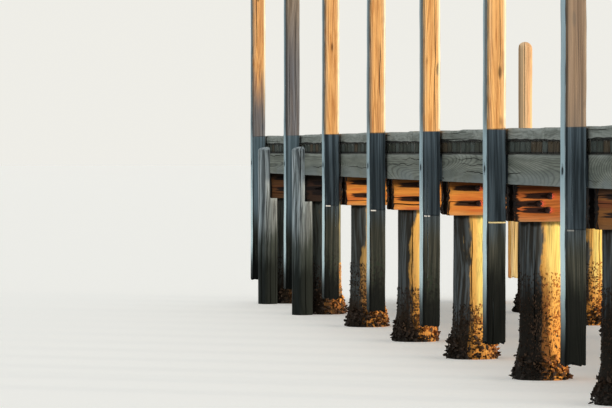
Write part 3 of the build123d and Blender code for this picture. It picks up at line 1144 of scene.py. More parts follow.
@dataclass
class Timber:
    """One timber in a box, made as rings of points at stations along its length."""

    rng: Dice
    box: Corners
    lie: Lie
    station: float = 0.07
    ragged: Span = (0.0, 0.0)
    eased: float = 0.006
    breaks: tuple[float, ...] = ()
    clip: Clip | None = None
    pith: Span = (0.03, 2.4)
    # How far the timber is painted as in cast shade: a height for posts, a share for crossheads and piles.
    grey: float = 0.0
    break_gap: float = 1e-5
    end_ease: float = 1.2
    end_inner: float = 0.55
    end_rough: float = 0.004
    end_rough_range: Span = (-0.5, 1.0)
    end_split: float = 0.6
    grain_shift: Span = (5.0, 40.0)
    pith_apart: float = 3.7
    top_band: Span = (0.03, 0.02)

    def __post_init__(self) -> None:
        """Read the sizes off the box."""
        self.length, self.width, self.depth = self.lie.sizes(self.box)

    def stations(self) -> Array:
        """Places of the rings along the timber; each break has two, one on either side of it."""
        count = max(2, round(self.length / self.station))
        inner = np.linspace(0.0, self.length, count + 1)[1:-1]
        ends = [0.0, self.eased, self.length - self.eased, self.length]
        doubled = [place for at in self.breaks for place in (at - self.break_gap, at + self.break_gap)]
        return np.sort(np.concatenate([inner, ends, doubled]))

    def section(self, along: Array) -> tuple[Array, Array, Array, Array]:
        """Width and depth place, split and edge value of each ring point; a kind of timber gives this."""
        raise NotImplementedError

    def ease_ends(self, along: Array, wide: Array, deep: Array) -> Array:
        """Narrow the two end rings a little and draw their ragged line.

        Args:
            along: places of the rings.
            wide: width places, a row for each ring; the end rows change.
            deep: depth places, a row for each ring; the end rows change.

        Returns:
            Length places, a row for each ring.
        """
        rings, columns = wide.shape
        span = np.repeat(along[:, None], columns, axis=1)
        start, stop = self.ragged
        for row, near, sign, ragged in ((0, 1, 1.0, start), (rings - 1, rings - 2, -1.0, stop)):
            size = max(np.ptp(wide[row]), np.ptp(deep[row]))
            ease = 1.0 - self.end_ease * self.eased / size
            for places in (wide, deep):
                middle = places[row].mean()
                places[row] = middle + (places[row] - middle) * ease
            span[row] += sign * self.rng.uniform(0.0, 1.0, columns) * ragged
            span[near] = sign * np.maximum(sign * span[near], sign * span[row] + self.eased * 0.5)
        return span

    def build(self, shape: Shape, tone: float, heart: Span) -> None:
        """Add the timber to a shape.

        Args:
            shape: the shape.
            tone: how pale it is, from 0 to 1.
            heart: width and depth place of its pith.
        """
        along = self.stations()
        wide, deep, split, edge = self.section(along)
        rings, columns = wide.shape
        span = self.ease_ends(along, wide, deep)
        points = [np.stack([span, wide, deep], axis=-1).reshape(-1, 3)]
        faces = tube(rings, columns)
        splits, edges = [split.ravel()], [edge.ravel()]
        total = rings * columns
        for row, sign in ((0, 1.0), (rings - 1, -1.0)):
            first = row * columns
            ring = points[0][first : first + columns]
            centre = ring.mean(0)
            inner = centre + (ring - centre) * self.end_inner
            rough = self.rng.uniform(*self.end_rough_range, columns) * self.end_rough
            inner[:, 0] = centre[0] + sign * rough
            points += [inner, centre[None]]
            faces += [(first + c, first + n, total + n, total + c) for c, n in around(columns)]
            faces += [(total + c, total + n, total + columns) for c, n in around(columns)]
            splits.append(np.append(split[row] * self.end_split, 0.0))
            edges.append(np.zeros(columns + 1))
            total += columns + 1
        local = np.concatenate(points)
        shape.join(
            self.placed(local), self.outward(local, faces, (rings - 1) * columns, columns),
            heart=self.about_heart(local, heart), split=np.concatenate(splits), edge=np.concatenate(edges),
            tone=np.full(len(local), tone), grey=np.full(len(local), self.grey),
            top=np.clip((local[:, 0] - self.length + self.top_band[0]) / self.top_band[1], 0.0, 1.0)
        )

    def about_heart(self, local: Array, heart: Span) -> Array:
        """Places of the points about the timber's wandering pith."""
        shift = self.rng.uniform(*self.grain_shift)
        drift = Ripple(self.rng, *self.pith, 2)
        wide = local[:, 1] - (heart[0] + drift.at(local[:, 0]))
        deep = local[:, 2] - (heart[1] + drift.at(local[:, 0] + self.pith_apart))
        return np.stack([local[:, 0] + shift, wide, deep], axis=-1)

    def placed(self, local: Array) -> Array:
        """Points in the frame.

        Args:
            local: length, width and depth places.

        Returns:
            The points, clipped and none below the water.
        """
        low, high = (np.array(corner) for corner in self.box)
        centred = local - np.array([self.length / 2, 0.0, 0.0])
        placed = centred @ np.array(self.lie.value, float) + (low + high) / 2
        if self.clip is not None:
            placed = self.clip(placed, local)
        placed[:, 2] = np.maximum(placed[:, 2], 0.0)
        return placed

    def outward(self, points: Array, faces: list[Face], row_faces: int, columns: int) -> list[Face]:
        """Turn every face outwards: the sides and the far end wind one way, the near end the other."""
        flip_sides = volume_sign(points, faces[:row_faces]) < 0
        near_end = range(row_faces, row_faces + 2 * columns)
        return [face[::-1] if (at in near_end) != flip_sides else face for at, face in enumerate(faces)]


@dataclass
class SquaredTimber(Timber):
    """A sawn timber with worn arrises, splits on its faces and a slightly wandering line."""

    arris: float = 0.008
    wobble: float = 0.0015
    checks: dict[int, list[Check]] = field(default_factory=dict)
    crown: Ripple | None = None
    worn_edge: float = 0.55
    least_split: float = 0.0004
    split_fill: float = 1.6

    def section(self, along: Array) -> tuple[Array, Array, Array, Array]:
        """Ring points: a worn corner, then the face with its splits, four times.

        Args:
            along: places of the stations.

        Returns:
            Width and depth places, split and edge values, a row for each station.
        """
        halves = (self.width / 2, self.depth / 2)
        wear = Ripple(self.rng, 0.5, 0.5, 3)
        one, zero = np.ones_like(along), np.zeros_like(along)
        ring = []
        for face in range(4):
            reach, out = halves[face % 2], halves[(face + 1) % 2]
            worn = self.arris * np.clip(1.0 + wear.at(along + 9.0 * face), 0.3, 2.0)
            corner = worn * (1.0 - math.sqrt(0.5))
            places = [(corner - reach, out - corner, zero, one)]
            places.append((worn - reach, out * one, zero, self.worn_edge * one))
            places += self.face_points(face, along, reach, out)
            places.append((reach - worn, out * one, zero, self.worn_edge * one))
            for across, up, split, edge in places:
                turned = ((across, -up), (up, across), (-across, up), (-up, -across))[face]
                ring.append((*turned, split, edge))
        wide, deep, split, edge = (np.stack(values, axis=1) for values in zip(*ring))
        if self.crown is not None:
            deep += np.where(deep > 0, self.crown.at(along)[:, None], 0.0)
        line = Ripple(self.rng, self.wobble, 1.7, 2)
        wide += line.at(along)[:, None]
        deep += line.at(along + 5.0)[:, None]
        return wide, deep, split, edge

    def face_points(self, face: int, along: Array, reach: float, out: float) -> list[tuple[Array, ...]]:
        """Points of one face between its arrises: three for each split and one between splits.

        Args:
            face: the face's number.
            along: places of the stations.
            reach: half of the face's breadth.
            out: its distance from the middle.

        Returns:
            Place across, place outwards, split and edge value of each point.
        """
        one, zero = np.ones_like(along), np.zeros_like(along)
        checks = sorted(self.checks.get(face, []), key=lambda check: check.place)
        bounds = [-reach, *(check.place * reach for check in checks), reach]
        places = []
        for index, check in enumerate(checks):
            room = min(bounds[index + 1] - bounds[index], bounds[index + 2] - bounds[index + 1])
            centre = bounds[index + 1] + np.clip(check.drift.at(along), -0.25 * room, 0.25 * room)
            opened = check.opening(along)
            half = self.least_split + check.width / 2 * opened
            places.append((centre - half, out * one, zero, zero))
            filled = np.clip(opened * self.split_fill, 0.0, 1.0)
            places.append((centre, out - check.depth * opened, filled, zero))
            places.append((centre + half, out * one, zero, zero))
            if index < len(checks) - 1:
                between = (bounds[index + 1] + bounds[index + 2]) / 2
                places.append((between * one, out * one, zero, zero))
        return places


@dataclass
class RoundTimber(Timber):
    """A round timber with a changing radius, a lumpy section and splits or flutes."""

    radius: Curve = np.ones_like
    sides: int = 40
    lump: float = 0.003
    checks: list[Check] = field(default_factory=list)
    crust: Curve | None = None
    least_split: float = 0.0005
    split_fill: float = 1.6

    def section(self, along: Array) -> tuple[Array, Array, Array, Array]:
        """Ring points by angle, with three for each split.

        Args:
            along: places of the stations.

        Returns:
            Width and depth places, split and edge values, a row for each station.
        """
        pitch = math.tau / self.sides
        one, zero = np.ones_like(along), np.zeros_like(along)
        lumps = [Ripple(self.rng, self.lump, 2.2, 2) for _ in range(3)]
        columns: list[tuple[float, Array, Array, Array]] = []
        for angle in (step * pitch for step in range(self.sides)):
            gaps = (abs((angle - check.place + math.pi) % math.tau - math.pi) for check in self.checks)
            if all(gap > pitch * 0.7 for gap in gaps):
                columns.append((angle, angle * one, zero, zero))
        base = self.radius(along)
        for check in self.checks:
            opened = check.opening(along)
            centre = check.place + np.clip(check.drift.at(along), -0.3 * pitch, 0.3 * pitch)
            half = (self.least_split + check.width / 2 * opened) / np.maximum(base, 0.02)
            half = np.minimum(half, 0.35 * pitch)
            filled = np.clip(opened * self.split_fill, 0.0, 1.0)
            columns.append((check.place - 0.001, centre - half, zero, zero))
            columns.append((check.place, centre, check.depth * opened, filled))
            columns.append((check.place + 0.001, centre + half, zero, zero))
        columns.sort(key=lambda column: column[0])
        angles, inset, split = (np.stack(values, axis=1) for values in list(zip(*columns))[1:])
        lobes = enumerate(lumps)
        bulges = sum(line.at(along)[:, None] * np.cos((turn + 2) * angles + turn) for turn, line in lobes)
        reach = base[:, None] + bulges * np.minimum(base / base.max(), 1.0)[:, None]
        if self.crust is not None:
            reach += self.crust(along)[:, None] * self.rng.uniform(0.0, 1.0, reach.shape)
        reach = np.maximum(reach - np.minimum(inset, reach * 0.6), 0.001)
        return reach * np.cos(angles), reach * np.sin(angles), split, np.zeros_like(split)


def solid_boxes(node: str) -> list[Corners]:
    """Boxes of a node's separate solids.

    Args:
        node: the CAD node.

    Returns:
        Lowest and highest corner of each solid, in order along X, then Y.
    """
    mesh = bpy.data.objects[node].data
    points = np.array([vertex.co for vertex in mesh.vertices])
    keys: dict[tuple[float, ...], int] = {}
    owner = [keys.setdefault(tuple(np.round(point, 4)), len(keys)) for point in points]
    parent = list(range(len(keys)))

    def top(item: int) -> int:
        """The group that an item belongs to."""
        while parent[item] != item:
            parent[item] = parent[parent[item]]
            item = parent[item]
        return item

    for polygon in mesh.polygons:
        first, *rest = (owner[vertex] for vertex in polygon.vertices)
        for other in rest:
            parent[top(other)] = top(first)
    groups: dict[int, list[int]] = {}
    for index, key in enumerate(owner):
        groups.setdefault(top(key), []).append(index)
    boxes = [(Vector(points[group].min(0)), Vector(points[group].max(0))) for group in groups.values()]
    return sorted(boxes, key=lambda box: (round(box[0].x, 3), round(box[0].y, 3)))


@dataclass
class Splitter:
    """Draws random splits for a timber."""

    rng: Dice
    width: Span
    depth: Span
    share: Span
    drift: float = 0.004

    def draw(self, place: float, length: float, at_end: bool) -> Check:
        """One split.

        Args:
            place: where it lies round the section.
            length: the timber's length.
            at_end: whether it runs out at an end.

        Returns:
            The split.
        """
        reach = length * self.rng.uniform(*self.share)
        start = self.rng.uniform(0.0, 1.0) * (length - reach)
        if at_end:
            start = -reach / 2 if self.rng.random() < 0.5 else length - reach / 2
        width = self.rng.uniform(*self.width)
        depth = self.rng.uniform(*self.depth)
        return Check(place, start, start + reach, width, depth, Ripple(self.rng, self.drift, 0.9, 3))

    def faces(self, per_face: Sequence[int], length: float, ends: float) -> dict[int, list[Check]]:
        """Splits for the four faces of a squared timber, spread over each face."""
        found: dict[int, list[Check]] = {}
        for face, count in enumerate(per_face):
            shares = [(index + self.rng.uniform(0.3, 0.7)) / count for index in range(count)]
            places = [(2 * share - 1) * 0.85 for share in shares]
            found[face] = [self.draw(place, length, self.rng.random() < ends) for place in places]
        return found

    def around(self, count: int, length: float, ends: float) -> list[Check]:
        """Splits round a pole."""
        turn = math.tau / count
        places = [turn * (index + self.rng.uniform(0.2, 0.8)) for index in range(count)]
        return [self.draw(place, length, self.rng.random() < ends) for place in places]


# Sub-assemblies


@dataclass
class Turned:
    """A turned or many-sided solid from radius and height pairs along its axis."""

    profile: tuple[Span, ...]
    sides: int = 16
    turn: float = 0.0
    tone: float = 0.5

    def build(self, shape: Shape, foot: Vector, axis: Vector) -> None:
        """Add the solid to a shape.

        Args:
            shape: the shape.
            foot: the place of height 0.
            axis: its direction.
        """
        direction = np.array(axis.normalized())
        side = np.array(axis.normalized().orthogonal().normalized())
        other = np.cross(direction, side)
        count, sides = len(self.profile), self.sides
        angles = self.turn + np.arange(sides) * math.tau / sides
        spokes = np.cos(angles)[:, None] * side + np.sin(angles)[:, None] * other
        rings = [np.array(foot) + direction * height + spokes * radius for radius, height in self.profile]
        caps = [np.array(foot) + direction * self.profile[end][1] for end in (0, -1)]
        points = np.concatenate([*rings, np.array(caps)])
        base, last = count * sides, (count - 1) * sides
        faces = tube(count, sides) + [(n, c, base) for c, n in around(sides)]
        faces += [(last + c, last + n, base + 1) for c, n in around(sides)]
        shape.join(points, faces, tone=np.full(len(points), self.tone))


@dataclass
class SawnWork:
    """A sub-assembly of squared timbers: a weathered piece for each of its CAD nodes."""

    slot: ClassVar[Slot]
    lie: ClassVar[Lie] = Lie.ACROSS
    splits: tuple = ()
    seed: int = 0

    def dressed_nodes(self) -> list[tuple[str, Material]]:
        """Its CAD nodes, each with the finish of its piece."""
        raise NotImplementedError

    def timber(self, splitter: Splitter, box: Corners, index: int) -> tuple[SquaredTimber, float, Span]:
        """A solid's timber, how pale it is, and the place of its pith."""
        raise NotImplementedError

    def fill(self, shape: Shape, splitter: Splitter, boxes: list[Corners], index: int) -> None:
        """Add the timbers of a node to a shape."""
        for box in boxes:
            timber, tone, heart = self.timber(splitter, box, index)
            timber.build(shape, tone, heart)

    def build(self) -> list[Piece]:
        """Make a piece for each node.

        Returns:
            The pieces.
        """
        pieces = []
        for index, (node, material) in enumerate(self.dressed_nodes()):
            shape = Shape()
            splitter = Splitter(np.random.default_rng(self.seed + index), *self.splits)
            self.fill(shape, splitter, solid_boxes(node), index)
            pieces.append(shape.stand_in(node, material, self.slot))
        return pieces


@dataclass
class Posts:
    """Square fender posts on both sides, with a bolt sunk in each."""

    arris: float = 0.011
    ragged: Span = (0.035, 0.006)
    recess_height: float = 1.705
    recess_radius: float = 0.03
    recess_depth: float = 0.04
    packer_thickness: float = 0.02
    packer_width: float = 0.11
    packer_heights: Span = (1.59, 1.82)
    packer_arris: float = 0.003
    packer_tone: float = 0.2
    # Post 0's low tone makes it darker and duller and takes away its glare: painted shade.
    tones: tuple[float, ...] = (0.12, 0.95, 0.70, 0.55, 0.7, 0.4, 0.5)
    far_tones: Span = (0.3, 0.75)
    # Heights down to which each near post is painted as in cast shade.
    cast_shade_to: tuple[float, ...] = (2.15, 0.0, 0.0, 0.0, 0.0, 5.0, 2.65)
    splits: tuple[Span, Span, Span] = ((0.003, 0.008), (0.012, 0.03), (0.12, 0.5))
    per_face: tuple[int, ...] = (3, 2, 2, 3)
    split_ends: float = 0.3
    heart_reach: Span = (-0.03, 0.03)
    seed: int = 11
    far_seed: int = 51
    grain: Grain = Grain(
        pale=(1.0, 0.56, 0.205), dark=(0.66, 0.335, 0.135), line=(0.50, 0.34, 0.24),
        worn=(0.92, 0.80, 0.58), ring_pitch=0.009, ring_strength=0.4, swirl=0.014, fibre_strength=0.8,
        knots=0.9, wear=0.5
    )
    far_pale: Colour = (1.0, 0.78, 0.36)
    far_dark: Colour = (0.85, 0.60, 0.26)

    def build(self) -> list[Piece]:
        """Make the posts of both sides.

        Returns:
            The pieces.
        """
        near = PostFinish("post_timber", self.grain).build()
        far_grain = replace(self.grain, pale=self.far_pale, dark=self.far_dark)
        far = FarPostFinish("far_post_timber", far_grain).build()
        pieces = [
            self.post(node, self.seed + index, near, self.tones[index], self.cast_shade_to[index])
            for index, node in enumerate(numbered("near_fender_post_"))
        ]
        return [*pieces, self.post("far_fender_posts", self.far_seed, far)]

    def parted(self, box: Corners) -> tuple[Corners, Corners]:
        """Boxes of a post's square timber and of its packer.

        Args:
            box: box of the whole solid.

        Returns:
            The timber's corners and the packer's corners.
        """
        low, high = (corner.copy() for corner in box)
        middle, reach = (low.x + high.x) / 2, self.packer_width / 2
        packer_low = Vector((middle - reach, low.y, self.packer_heights[0]))
        packer_high = Vector((middle + reach, high.y, self.packer_heights[1]))
        if side_of(box) < 0:
            high.y -= self.packer_thickness
            packer_low.y = high.y
        else:
            low.y += self.packer_thickness
            packer_high.y = low.y
        return (low, high), (packer_low, packer_high)

    def post(
        self, node: str, seed: int, material: Material, tone: float | None = None,
        grey: float = 0.0,
    ) -> Piece:
        """One or more posts as one piece, each with its recess and its packer.

        Args:
            node: the CAD node that they stand for.
            seed: seed of the splits.
            material: the finish.
            tone: how pale a single post is; drawn at random if not given.
            grey: height down to which it is in painted cast shade.

        Returns:
            The piece.
        """
        rng = np.random.default_rng(seed)
        splitter = Splitter(rng, *self.splits)
        shape = Shape()
        parted = [self.parted(solid) for solid in solid_boxes(node)]
        for _, packer in parted:
            timber = SquaredTimber(rng, packer, Lie.UPRIGHT, arris=self.packer_arris)
            timber.build(shape, self.packer_tone, (0.0, 0.0))
        for box, _ in parted:
            timber = SquaredTimber(
                rng, box, Lie.UPRIGHT, station=0.055, ragged=self.ragged, arris=self.arris, wobble=0.002,
                pith=(0.02, 5.0),
                checks=splitter.faces(self.per_face, Lie.UPRIGHT.sizes(box)[0], self.split_ends), grey=grey
            )
            pale = rng.uniform(*self.far_tones) if tone is None else tone
            timber.build(shape, pale, (rng.uniform(*self.heart_reach), rng.uniform(*self.heart_reach)))
        piece = shape.object(f"{node}_weathered", material, Slot.POST)
        self.sink(piece, [box for box, _ in parted])
        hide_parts(node)
        return piece

    def sink(self, piece: Piece, boxes: list[Corners]) -> None:
        """Cut the bolt recesses into the outer faces.

        Args:
            piece: the posts.
            boxes: the posts' boxes.
        """
        lathe = Turned(((self.recess_radius, -0.02), (self.recess_radius, self.recess_depth)), 24)
        shape = Shape()
        for low, high in boxes:
            outward = side_of((low, high))
            mouth = Vector(((low.x + high.x) / 2, low.y if outward < 0 else high.y, self.recess_height))
            lathe.build(shape, mouth, Vector((0.0, -outward, 0.0)))
        cutter = shape.object("recess_cutter", piece.data.materials[0], Slot.POST)
        modifier = piece.modifiers.new("recess", "BOOLEAN")
        modifier.operation = "DIFFERENCE"
        modifier.solver = "EXACT"
        modifier.object = cutter
        graph = bpy.context.evaluated_depsgraph_get()
        cut = bpy.data.meshes.new_from_object(piece.evaluated_get(graph))
        piece.modifiers.clear()
        piece.data = cut
        bpy.data.objects.remove(cutter)


@dataclass
class Crossheads(SawnWork):
    """Pairs of half-caps with their through-bolts."""

    slot: ClassVar[Slot] = Slot.CROSSHEAD
    three: tuple[Span, ...] = ((1.18, 1.488), (1.265, 1.426), (1.195, 1.374))
    two: tuple[Span, ...] = ((1.20, 1.520), (1.19, 1.386))
    fingers: Span = (0.17, 0.03)
    # Share of each bent's half-caps painted near-black as in cast shade.
    cast_shade: tuple[float, ...] = (0.86, 0.0, 0.0, 0.0, 0.05, 1.0, 0.94)
    arris: float = 0.010
    splits: tuple = ((0.005, 0.014), (0.02, 0.04), (0.18, 0.55), 0.008)
    per_face: tuple[int, ...] = (1, 4, 1, 4)
    split_ends: float = 0.65
    tones: Span = (0.35, 0.8)
    seed: int = 71
    grain: Grain = Grain(
        pale=(0.74, 0.24, 0.055), dark=(0.44, 0.115, 0.028), worn=(0.62, 0.36, 0.18), ring_pitch=0.017,
        ring_strength=0.35, fibre_strength=0.6
    )
    bright: Grain = Grain(
        pale=(1.0, 0.41, 0.080), dark=(0.86, 0.28, 0.048), worn=(0.62, 0.36, 0.18), ring_pitch=0.017,
        ring_strength=0.15, fibre_strength=0.35
    )

    def bolts(self, bent: int) -> tuple[Span, ...]:
        """Bolt places of a bent."""
        return self.three if bent % 4 == 1 else self.two

    def dressed_nodes(self) -> list[tuple[str, Material]]:
        """Its CAD nodes, each with the finish that goes with its bolts.

        Returns:
            Name and finish of each.
        """
        kinds = zip((self.three, self.two), (self.grain, self.bright), self.fingers)
        finishes = {
            bolts: CrossheadFinish(f"crosshead_timber_{len(bolts)}", grain, bolts, fingers).build()
            for bolts, grain, fingers in kinds
        }
        return [(node, finishes[self.bolts(bent)]) for bent, node in enumerate(numbered("crosshead_"))]

    def timber(self, splitter: Splitter, box: Corners, index: int) -> tuple[SquaredTimber, float, Span]:
        """One half-cap."""
        rng = splitter.rng
        timber = SquaredTimber(
            rng, box, self.lie, station=0.05, ragged=(0.018, 0.018), arris=self.arris, wobble=0.002,
            checks=splitter.faces(self.per_face, self.lie.sizes(box)[0], self.split_ends),
            grey=self.cast_shade[index]
        )
        heart = (rng.uniform(-0.05, 0.05), rng.uniform(-0.1, 0.1))
        return timber, rng.uniform(*self.tones), heart


def clip_tenon(box: Corners, shoulder: float, thickness: float) -> Clip:
    """Check the head of a pile to a tenon.

    Args:
        box: the pile's box.
        shoulder: height of the shoulders.
        thickness: the tenon's thickness along X.

    Returns:
        A function that clips placed points.
    """
    middle = (box[0].x + box[1].x) / 2

    def clip(points: Array, local: Array) -> Array:
        """Bring points over the shoulder in to the cheeks."""
        cheeks = np.clip(points[:, 0], middle - thickness / 2, middle + thickness / 2)
        points[:, 0] = np.where(points[:, 2] > shoulder, cheeks, points[:, 0])
        return points

    return clip


def clip_hewn(face: float, outward: float, start: float) -> Clip:
    """Hew a pole flat where it bears.

    Args:
        face: Y of the bearing face.
        outward: -1 on the near side and 1 on the far side.
        start: height at which the flat starts.

    Returns:
        A function that clips placed points.
    """

    def clip(points: Array, local: Array) -> Array:
        """Keep points over the start on the outer side of the face."""
        flat = outward * np.maximum(outward * points[:, 1], outward * face)
        points[:, 1] = np.where(points[:, 2] > start, flat, points[:, 1])
        return points

    return clip


@dataclass
class Piles:
    """Round piles of both rows, with tenons between the half-caps."""

    shoulder: float = 1.28
    tenon: float = 0.15
    shaft: float = 0.175
    skin: float = 0.004
    foot: float = 0.212
    collar_height: float = 0.30
    crust_depth: float = 0.022
    crust_tops: tuple[float, ...] = (0.75, 0.75, 0.42, 0.45, 0.58, 0.50, 0.50)
    # Share of each near pile painted as in cast shade.
    cast_shade: tuple[float, ...] = (0.0, 0.0, 0.0, 0.0, 0.35, 0.85, 0.9)
    split_count: int = 9
    split_ends: float = 0.4
    tones: Span = (0.35, 0.75)
    seed: int = 211
    grain: Grain = Grain(
        pale=(1.0, 0.88, 0.30), dark=(1.0, 0.66, 0.17), worn=(0.6, 0.45, 0.25), ring_pitch=0.02,
        ring_strength=0.12, fibre_strength=0.6
    )

    def radius_at(self, height: Array) -> Array:
        """Radius at each height, swelling towards the foot."""
        swell = np.clip(1.0 - height / self.collar_height, 0.0, 1.0)
        return self.shaft - self.skin + (self.foot - self.shaft) * swell

    def build(self) -> list[Piece]:
        """Make every pile."""
        material = PileFinish("pile_timber", self.grain).build()
        names = numbered("near_pile_", "far_pile_")
        return [self.pile(node, self.seed + index, material) for index, node in enumerate(names)]

    def pile(self, node: str, seed: int, material: Material) -> Piece:
        """One pile.

        Args:
            node: the CAD node that it stands for.
            seed: seed of its splits.
            material: its finish.

        Returns:
            The piece.
        """
        rng = np.random.default_rng(seed)
        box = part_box(node)
        bent = int(node[-1])
        rise = Ripple(rng, 0.1, 0.9, 3)

        def crust(along: Array) -> Array:
            """Roughness of the crust at each height."""
            level = np.clip(1.0 - (along + rise.at(along)) / self.crust_tops[bent], 0.0, 1.0)
            return self.crust_depth * level**1.3

        splitter = Splitter(rng, (0.004, 0.011), (0.012, 0.035), (0.25, 0.8), 0.04)
        timber = RoundTimber(
            rng, box, Lie.UPRIGHT, station=0.03, breaks=(self.shoulder - box[0].z,),
            clip=clip_tenon(box, self.shoulder, self.tenon), radius=self.radius_at, lump=0.004,
            checks=splitter.around(self.split_count, Lie.UPRIGHT.sizes(box)[0], self.split_ends),
            crust=crust, grey=self.cast_shade[bent] if node.startswith("near") else 0.0
        )
        shape = Shape()
        timber.build(shape, rng.uniform(*self.tones), (0.0, 0.0))
        return shape.stand_in(node, material, Slot.PILE)


@dataclass(frozen=True)
class PoleKind:
    """A kind of pole: its nodes, seeds, flutes, the depth of a flute and the height of its domed top."""

    prefix: str
    seed: int
    flutes: int
    depth: Span
    dome: float
    finish: type[FenderPileFinish]
    material: str
    grain: Grain


@dataclass
class Poles:
    """Round fender piles at the head and the slender mooring poles, domed and hewn to the stringer."""

    bearing: float = 1.5
    hewn_from: float = 1.28
    skin: float = 0.003
    dome_rings: tuple[float, ...] = (1.0, 0.75, 0.5, 0.3, 0.14, 0.05)
    dome_close: float = 0.995
    split_ends: float = 0.6
    tones: Span = (0.35, 0.75)
    smooth: float = 50.0
    kinds: tuple[PoleKind, ...] = (
        PoleKind(
            prefix="head_fender_pile_", seed=331, flutes=13, depth=(0.008, 0.02), dome=0.045,
            finish=FenderPileFinish, material="fender_pile_timber",
            grain=Grain(
                pale=(0.62, 0.68, 0.68), dark=(0.30, 0.35, 0.36), worn=(0.6, 0.6, 0.55), ring_pitch=0.02,
                ring_strength=0.1, fibre_strength=0.7
            ),
        ),
        PoleKind(
            prefix="mooring_pole_", seed=352, flutes=5, depth=(0.002, 0.006), dome=0.085,
            finish=MooringPoleFinish, material="mooring_pole_timber",
            grain=Grain(
                pale=(0.90, 0.55, 0.28), dark=(0.62, 0.36, 0.18), worn=(0.7, 0.6, 0.5), ring_pitch=0.02,
                ring_strength=0.15, fibre_strength=0.5
            ),
        ),
    )

    def build(self) -> list[Piece]:
        """Make the poles.

        Returns:
            The pieces.
        """
        pieces = []
        for kind in self.kinds:
            material = kind.finish(kind.material, kind.grain).build()
            for index, node in enumerate(numbered(kind.prefix)):
                pieces.append(self.pole(node, kind, np.random.default_rng(kind.seed + index), material))
        return pieces

    def pole(self, node: str, kind: PoleKind, rng: Dice, material: Material) -> Piece:
        """One pole.

        Args:
            node: the CAD node that it stands for.
            kind: its kind.
            rng: its random source.
            material: its finish.

        Returns:
            The piece.
        """
        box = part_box(node)
        low, high = box
        full, height, dome = (high.x - low.x) / 2, high.z - low.z, kind.dome
        outward = side_of(box)

        def radius(along: Array) -> Array:
            """Radius at each height, closing to the dome."""
            over = np.clip((along - (height - dome)) / dome, 0.0, 1.0)
            return (full - self.skin) * np.sqrt(np.clip(1.0 - over**2 * self.dome_close, 0.0, 1.0))

        splitter = Splitter(rng, (0.008, 0.018), kind.depth, (0.5, 1.1), 0.03)
        timber = RoundTimber(
            rng, box, Lie.UPRIGHT, station=0.045, eased=0.003,
            breaks=(self.hewn_from - low.z, *(height - dome * part for part in self.dome_rings)),
            clip=clip_hewn(outward * self.bearing, outward, self.hewn_from), radius=radius,
            checks=splitter.around(kind.flutes, height, self.split_ends)
        )
        shape = Shape()
        timber.build(shape, rng.uniform(*self.tones), (0.0, 0.0))
        return shape.stand_in(node, material, Slot.PILE, self.smooth)


@dataclass
class Stringers(SawnWork):
    """Stringer lines in scarfed lengths."""

    slot: ClassVar[Slot] = Slot.STRINGER
    lie: ClassVar[Lie] = Lie.ALONG
    nodes: tuple[str, ...] = ("near_stringer", "far_stringer", "inner_stringers")
    arris: float = 0.008
    gap: float = 0.003
    splits: tuple = ((0.003, 0.009), (0.012, 0.03), (0.08, 0.35), 0.012)
    per_face: tuple[int, ...] = (1, 4, 1, 4)
    split_ends: float = 0.4
    heart_inset: Span = (0.03, 0.09)
    tones: Span = (0.3, 0.75)
    seed: int = 401
    grain: Grain = Grain(
        pale=(0.315, 0.330, 0.275), dark=(0.155, 0.170, 0.138), worn=(0.38, 0.40, 0.37), ring_pitch=0.0085,
        ring_strength=0.8, swirl=0.012, fibre_strength=0.35
    )

    def dressed_nodes(self) -> list[tuple[str, Material]]:
        """Its CAD nodes with their finish."""
        material = StringerFinish("stringer_timber", self.grain).build()
        return [(node, material) for node in self.nodes]

    def fill(self, shape: Shape, splitter: Splitter, boxes: list[Corners], index: int) -> None:
        """Add the lengths of a node, line by line."""
        rows: dict[float, list[Corners]] = {}
        for low, high in boxes:
            rows.setdefault(round(low.y, 3), []).append((low, high))
        for row in rows.values():
            row.sort(key=lambda box: box[0].x)
            laps = [0.0, *(a[1].x - b[0].x + self.gap for a, b in zip(row, row[1:])), 0.0]
            for at, box in enumerate(row):
                self.length(shape, splitter, box, laps[at], laps[at + 1])

    def length(self, shape: Shape, splitter: Splitter, box: Corners, before: float, after: float) -> None:
        """One length.

        Args:
            shape: the shape that takes it.
            splitter: draws the splits.
            box: the solid's box.
            before: length of the halving at its head end, where its upper half stays.
            after: length of the halving at its shore end, where its lower half stays.
        """
        rng = splitter.rng
        length = self.lie.sizes(box)[0]
        middle = (box[0].z + box[1].z) / 2

        def clip(points: Array, local: Array) -> Array:
            """Halve the ends."""
            upper = np.maximum(points[:, 2], middle + self.gap / 2)
            lower = np.minimum(points[:, 2], middle - self.gap / 2)
            if before:
                points[:, 2] = np.where(local[:, 0] < before, upper, points[:, 2])
            if after:
                points[:, 2] = np.where(local[:, 0] > length - after, lower, points[:, 2])
            return points

        timber = SquaredTimber(
            rng, box, self.lie, station=0.08, eased=0.003,
            breaks=tuple(place for lap, place in ((before, before), (after, length - after)) if lap),
            clip=clip, pith=(0.11, 9.0), arris=self.arris, wobble=0.0,
            checks=splitter.faces(self.per_face, length, self.split_ends)
        )
        heart = (-side_of(box) * rng.uniform(*self.heart_inset), rng.uniform(-0.05, 0.05))
        timber.build(shape, rng.uniform(*self.tones), heart)


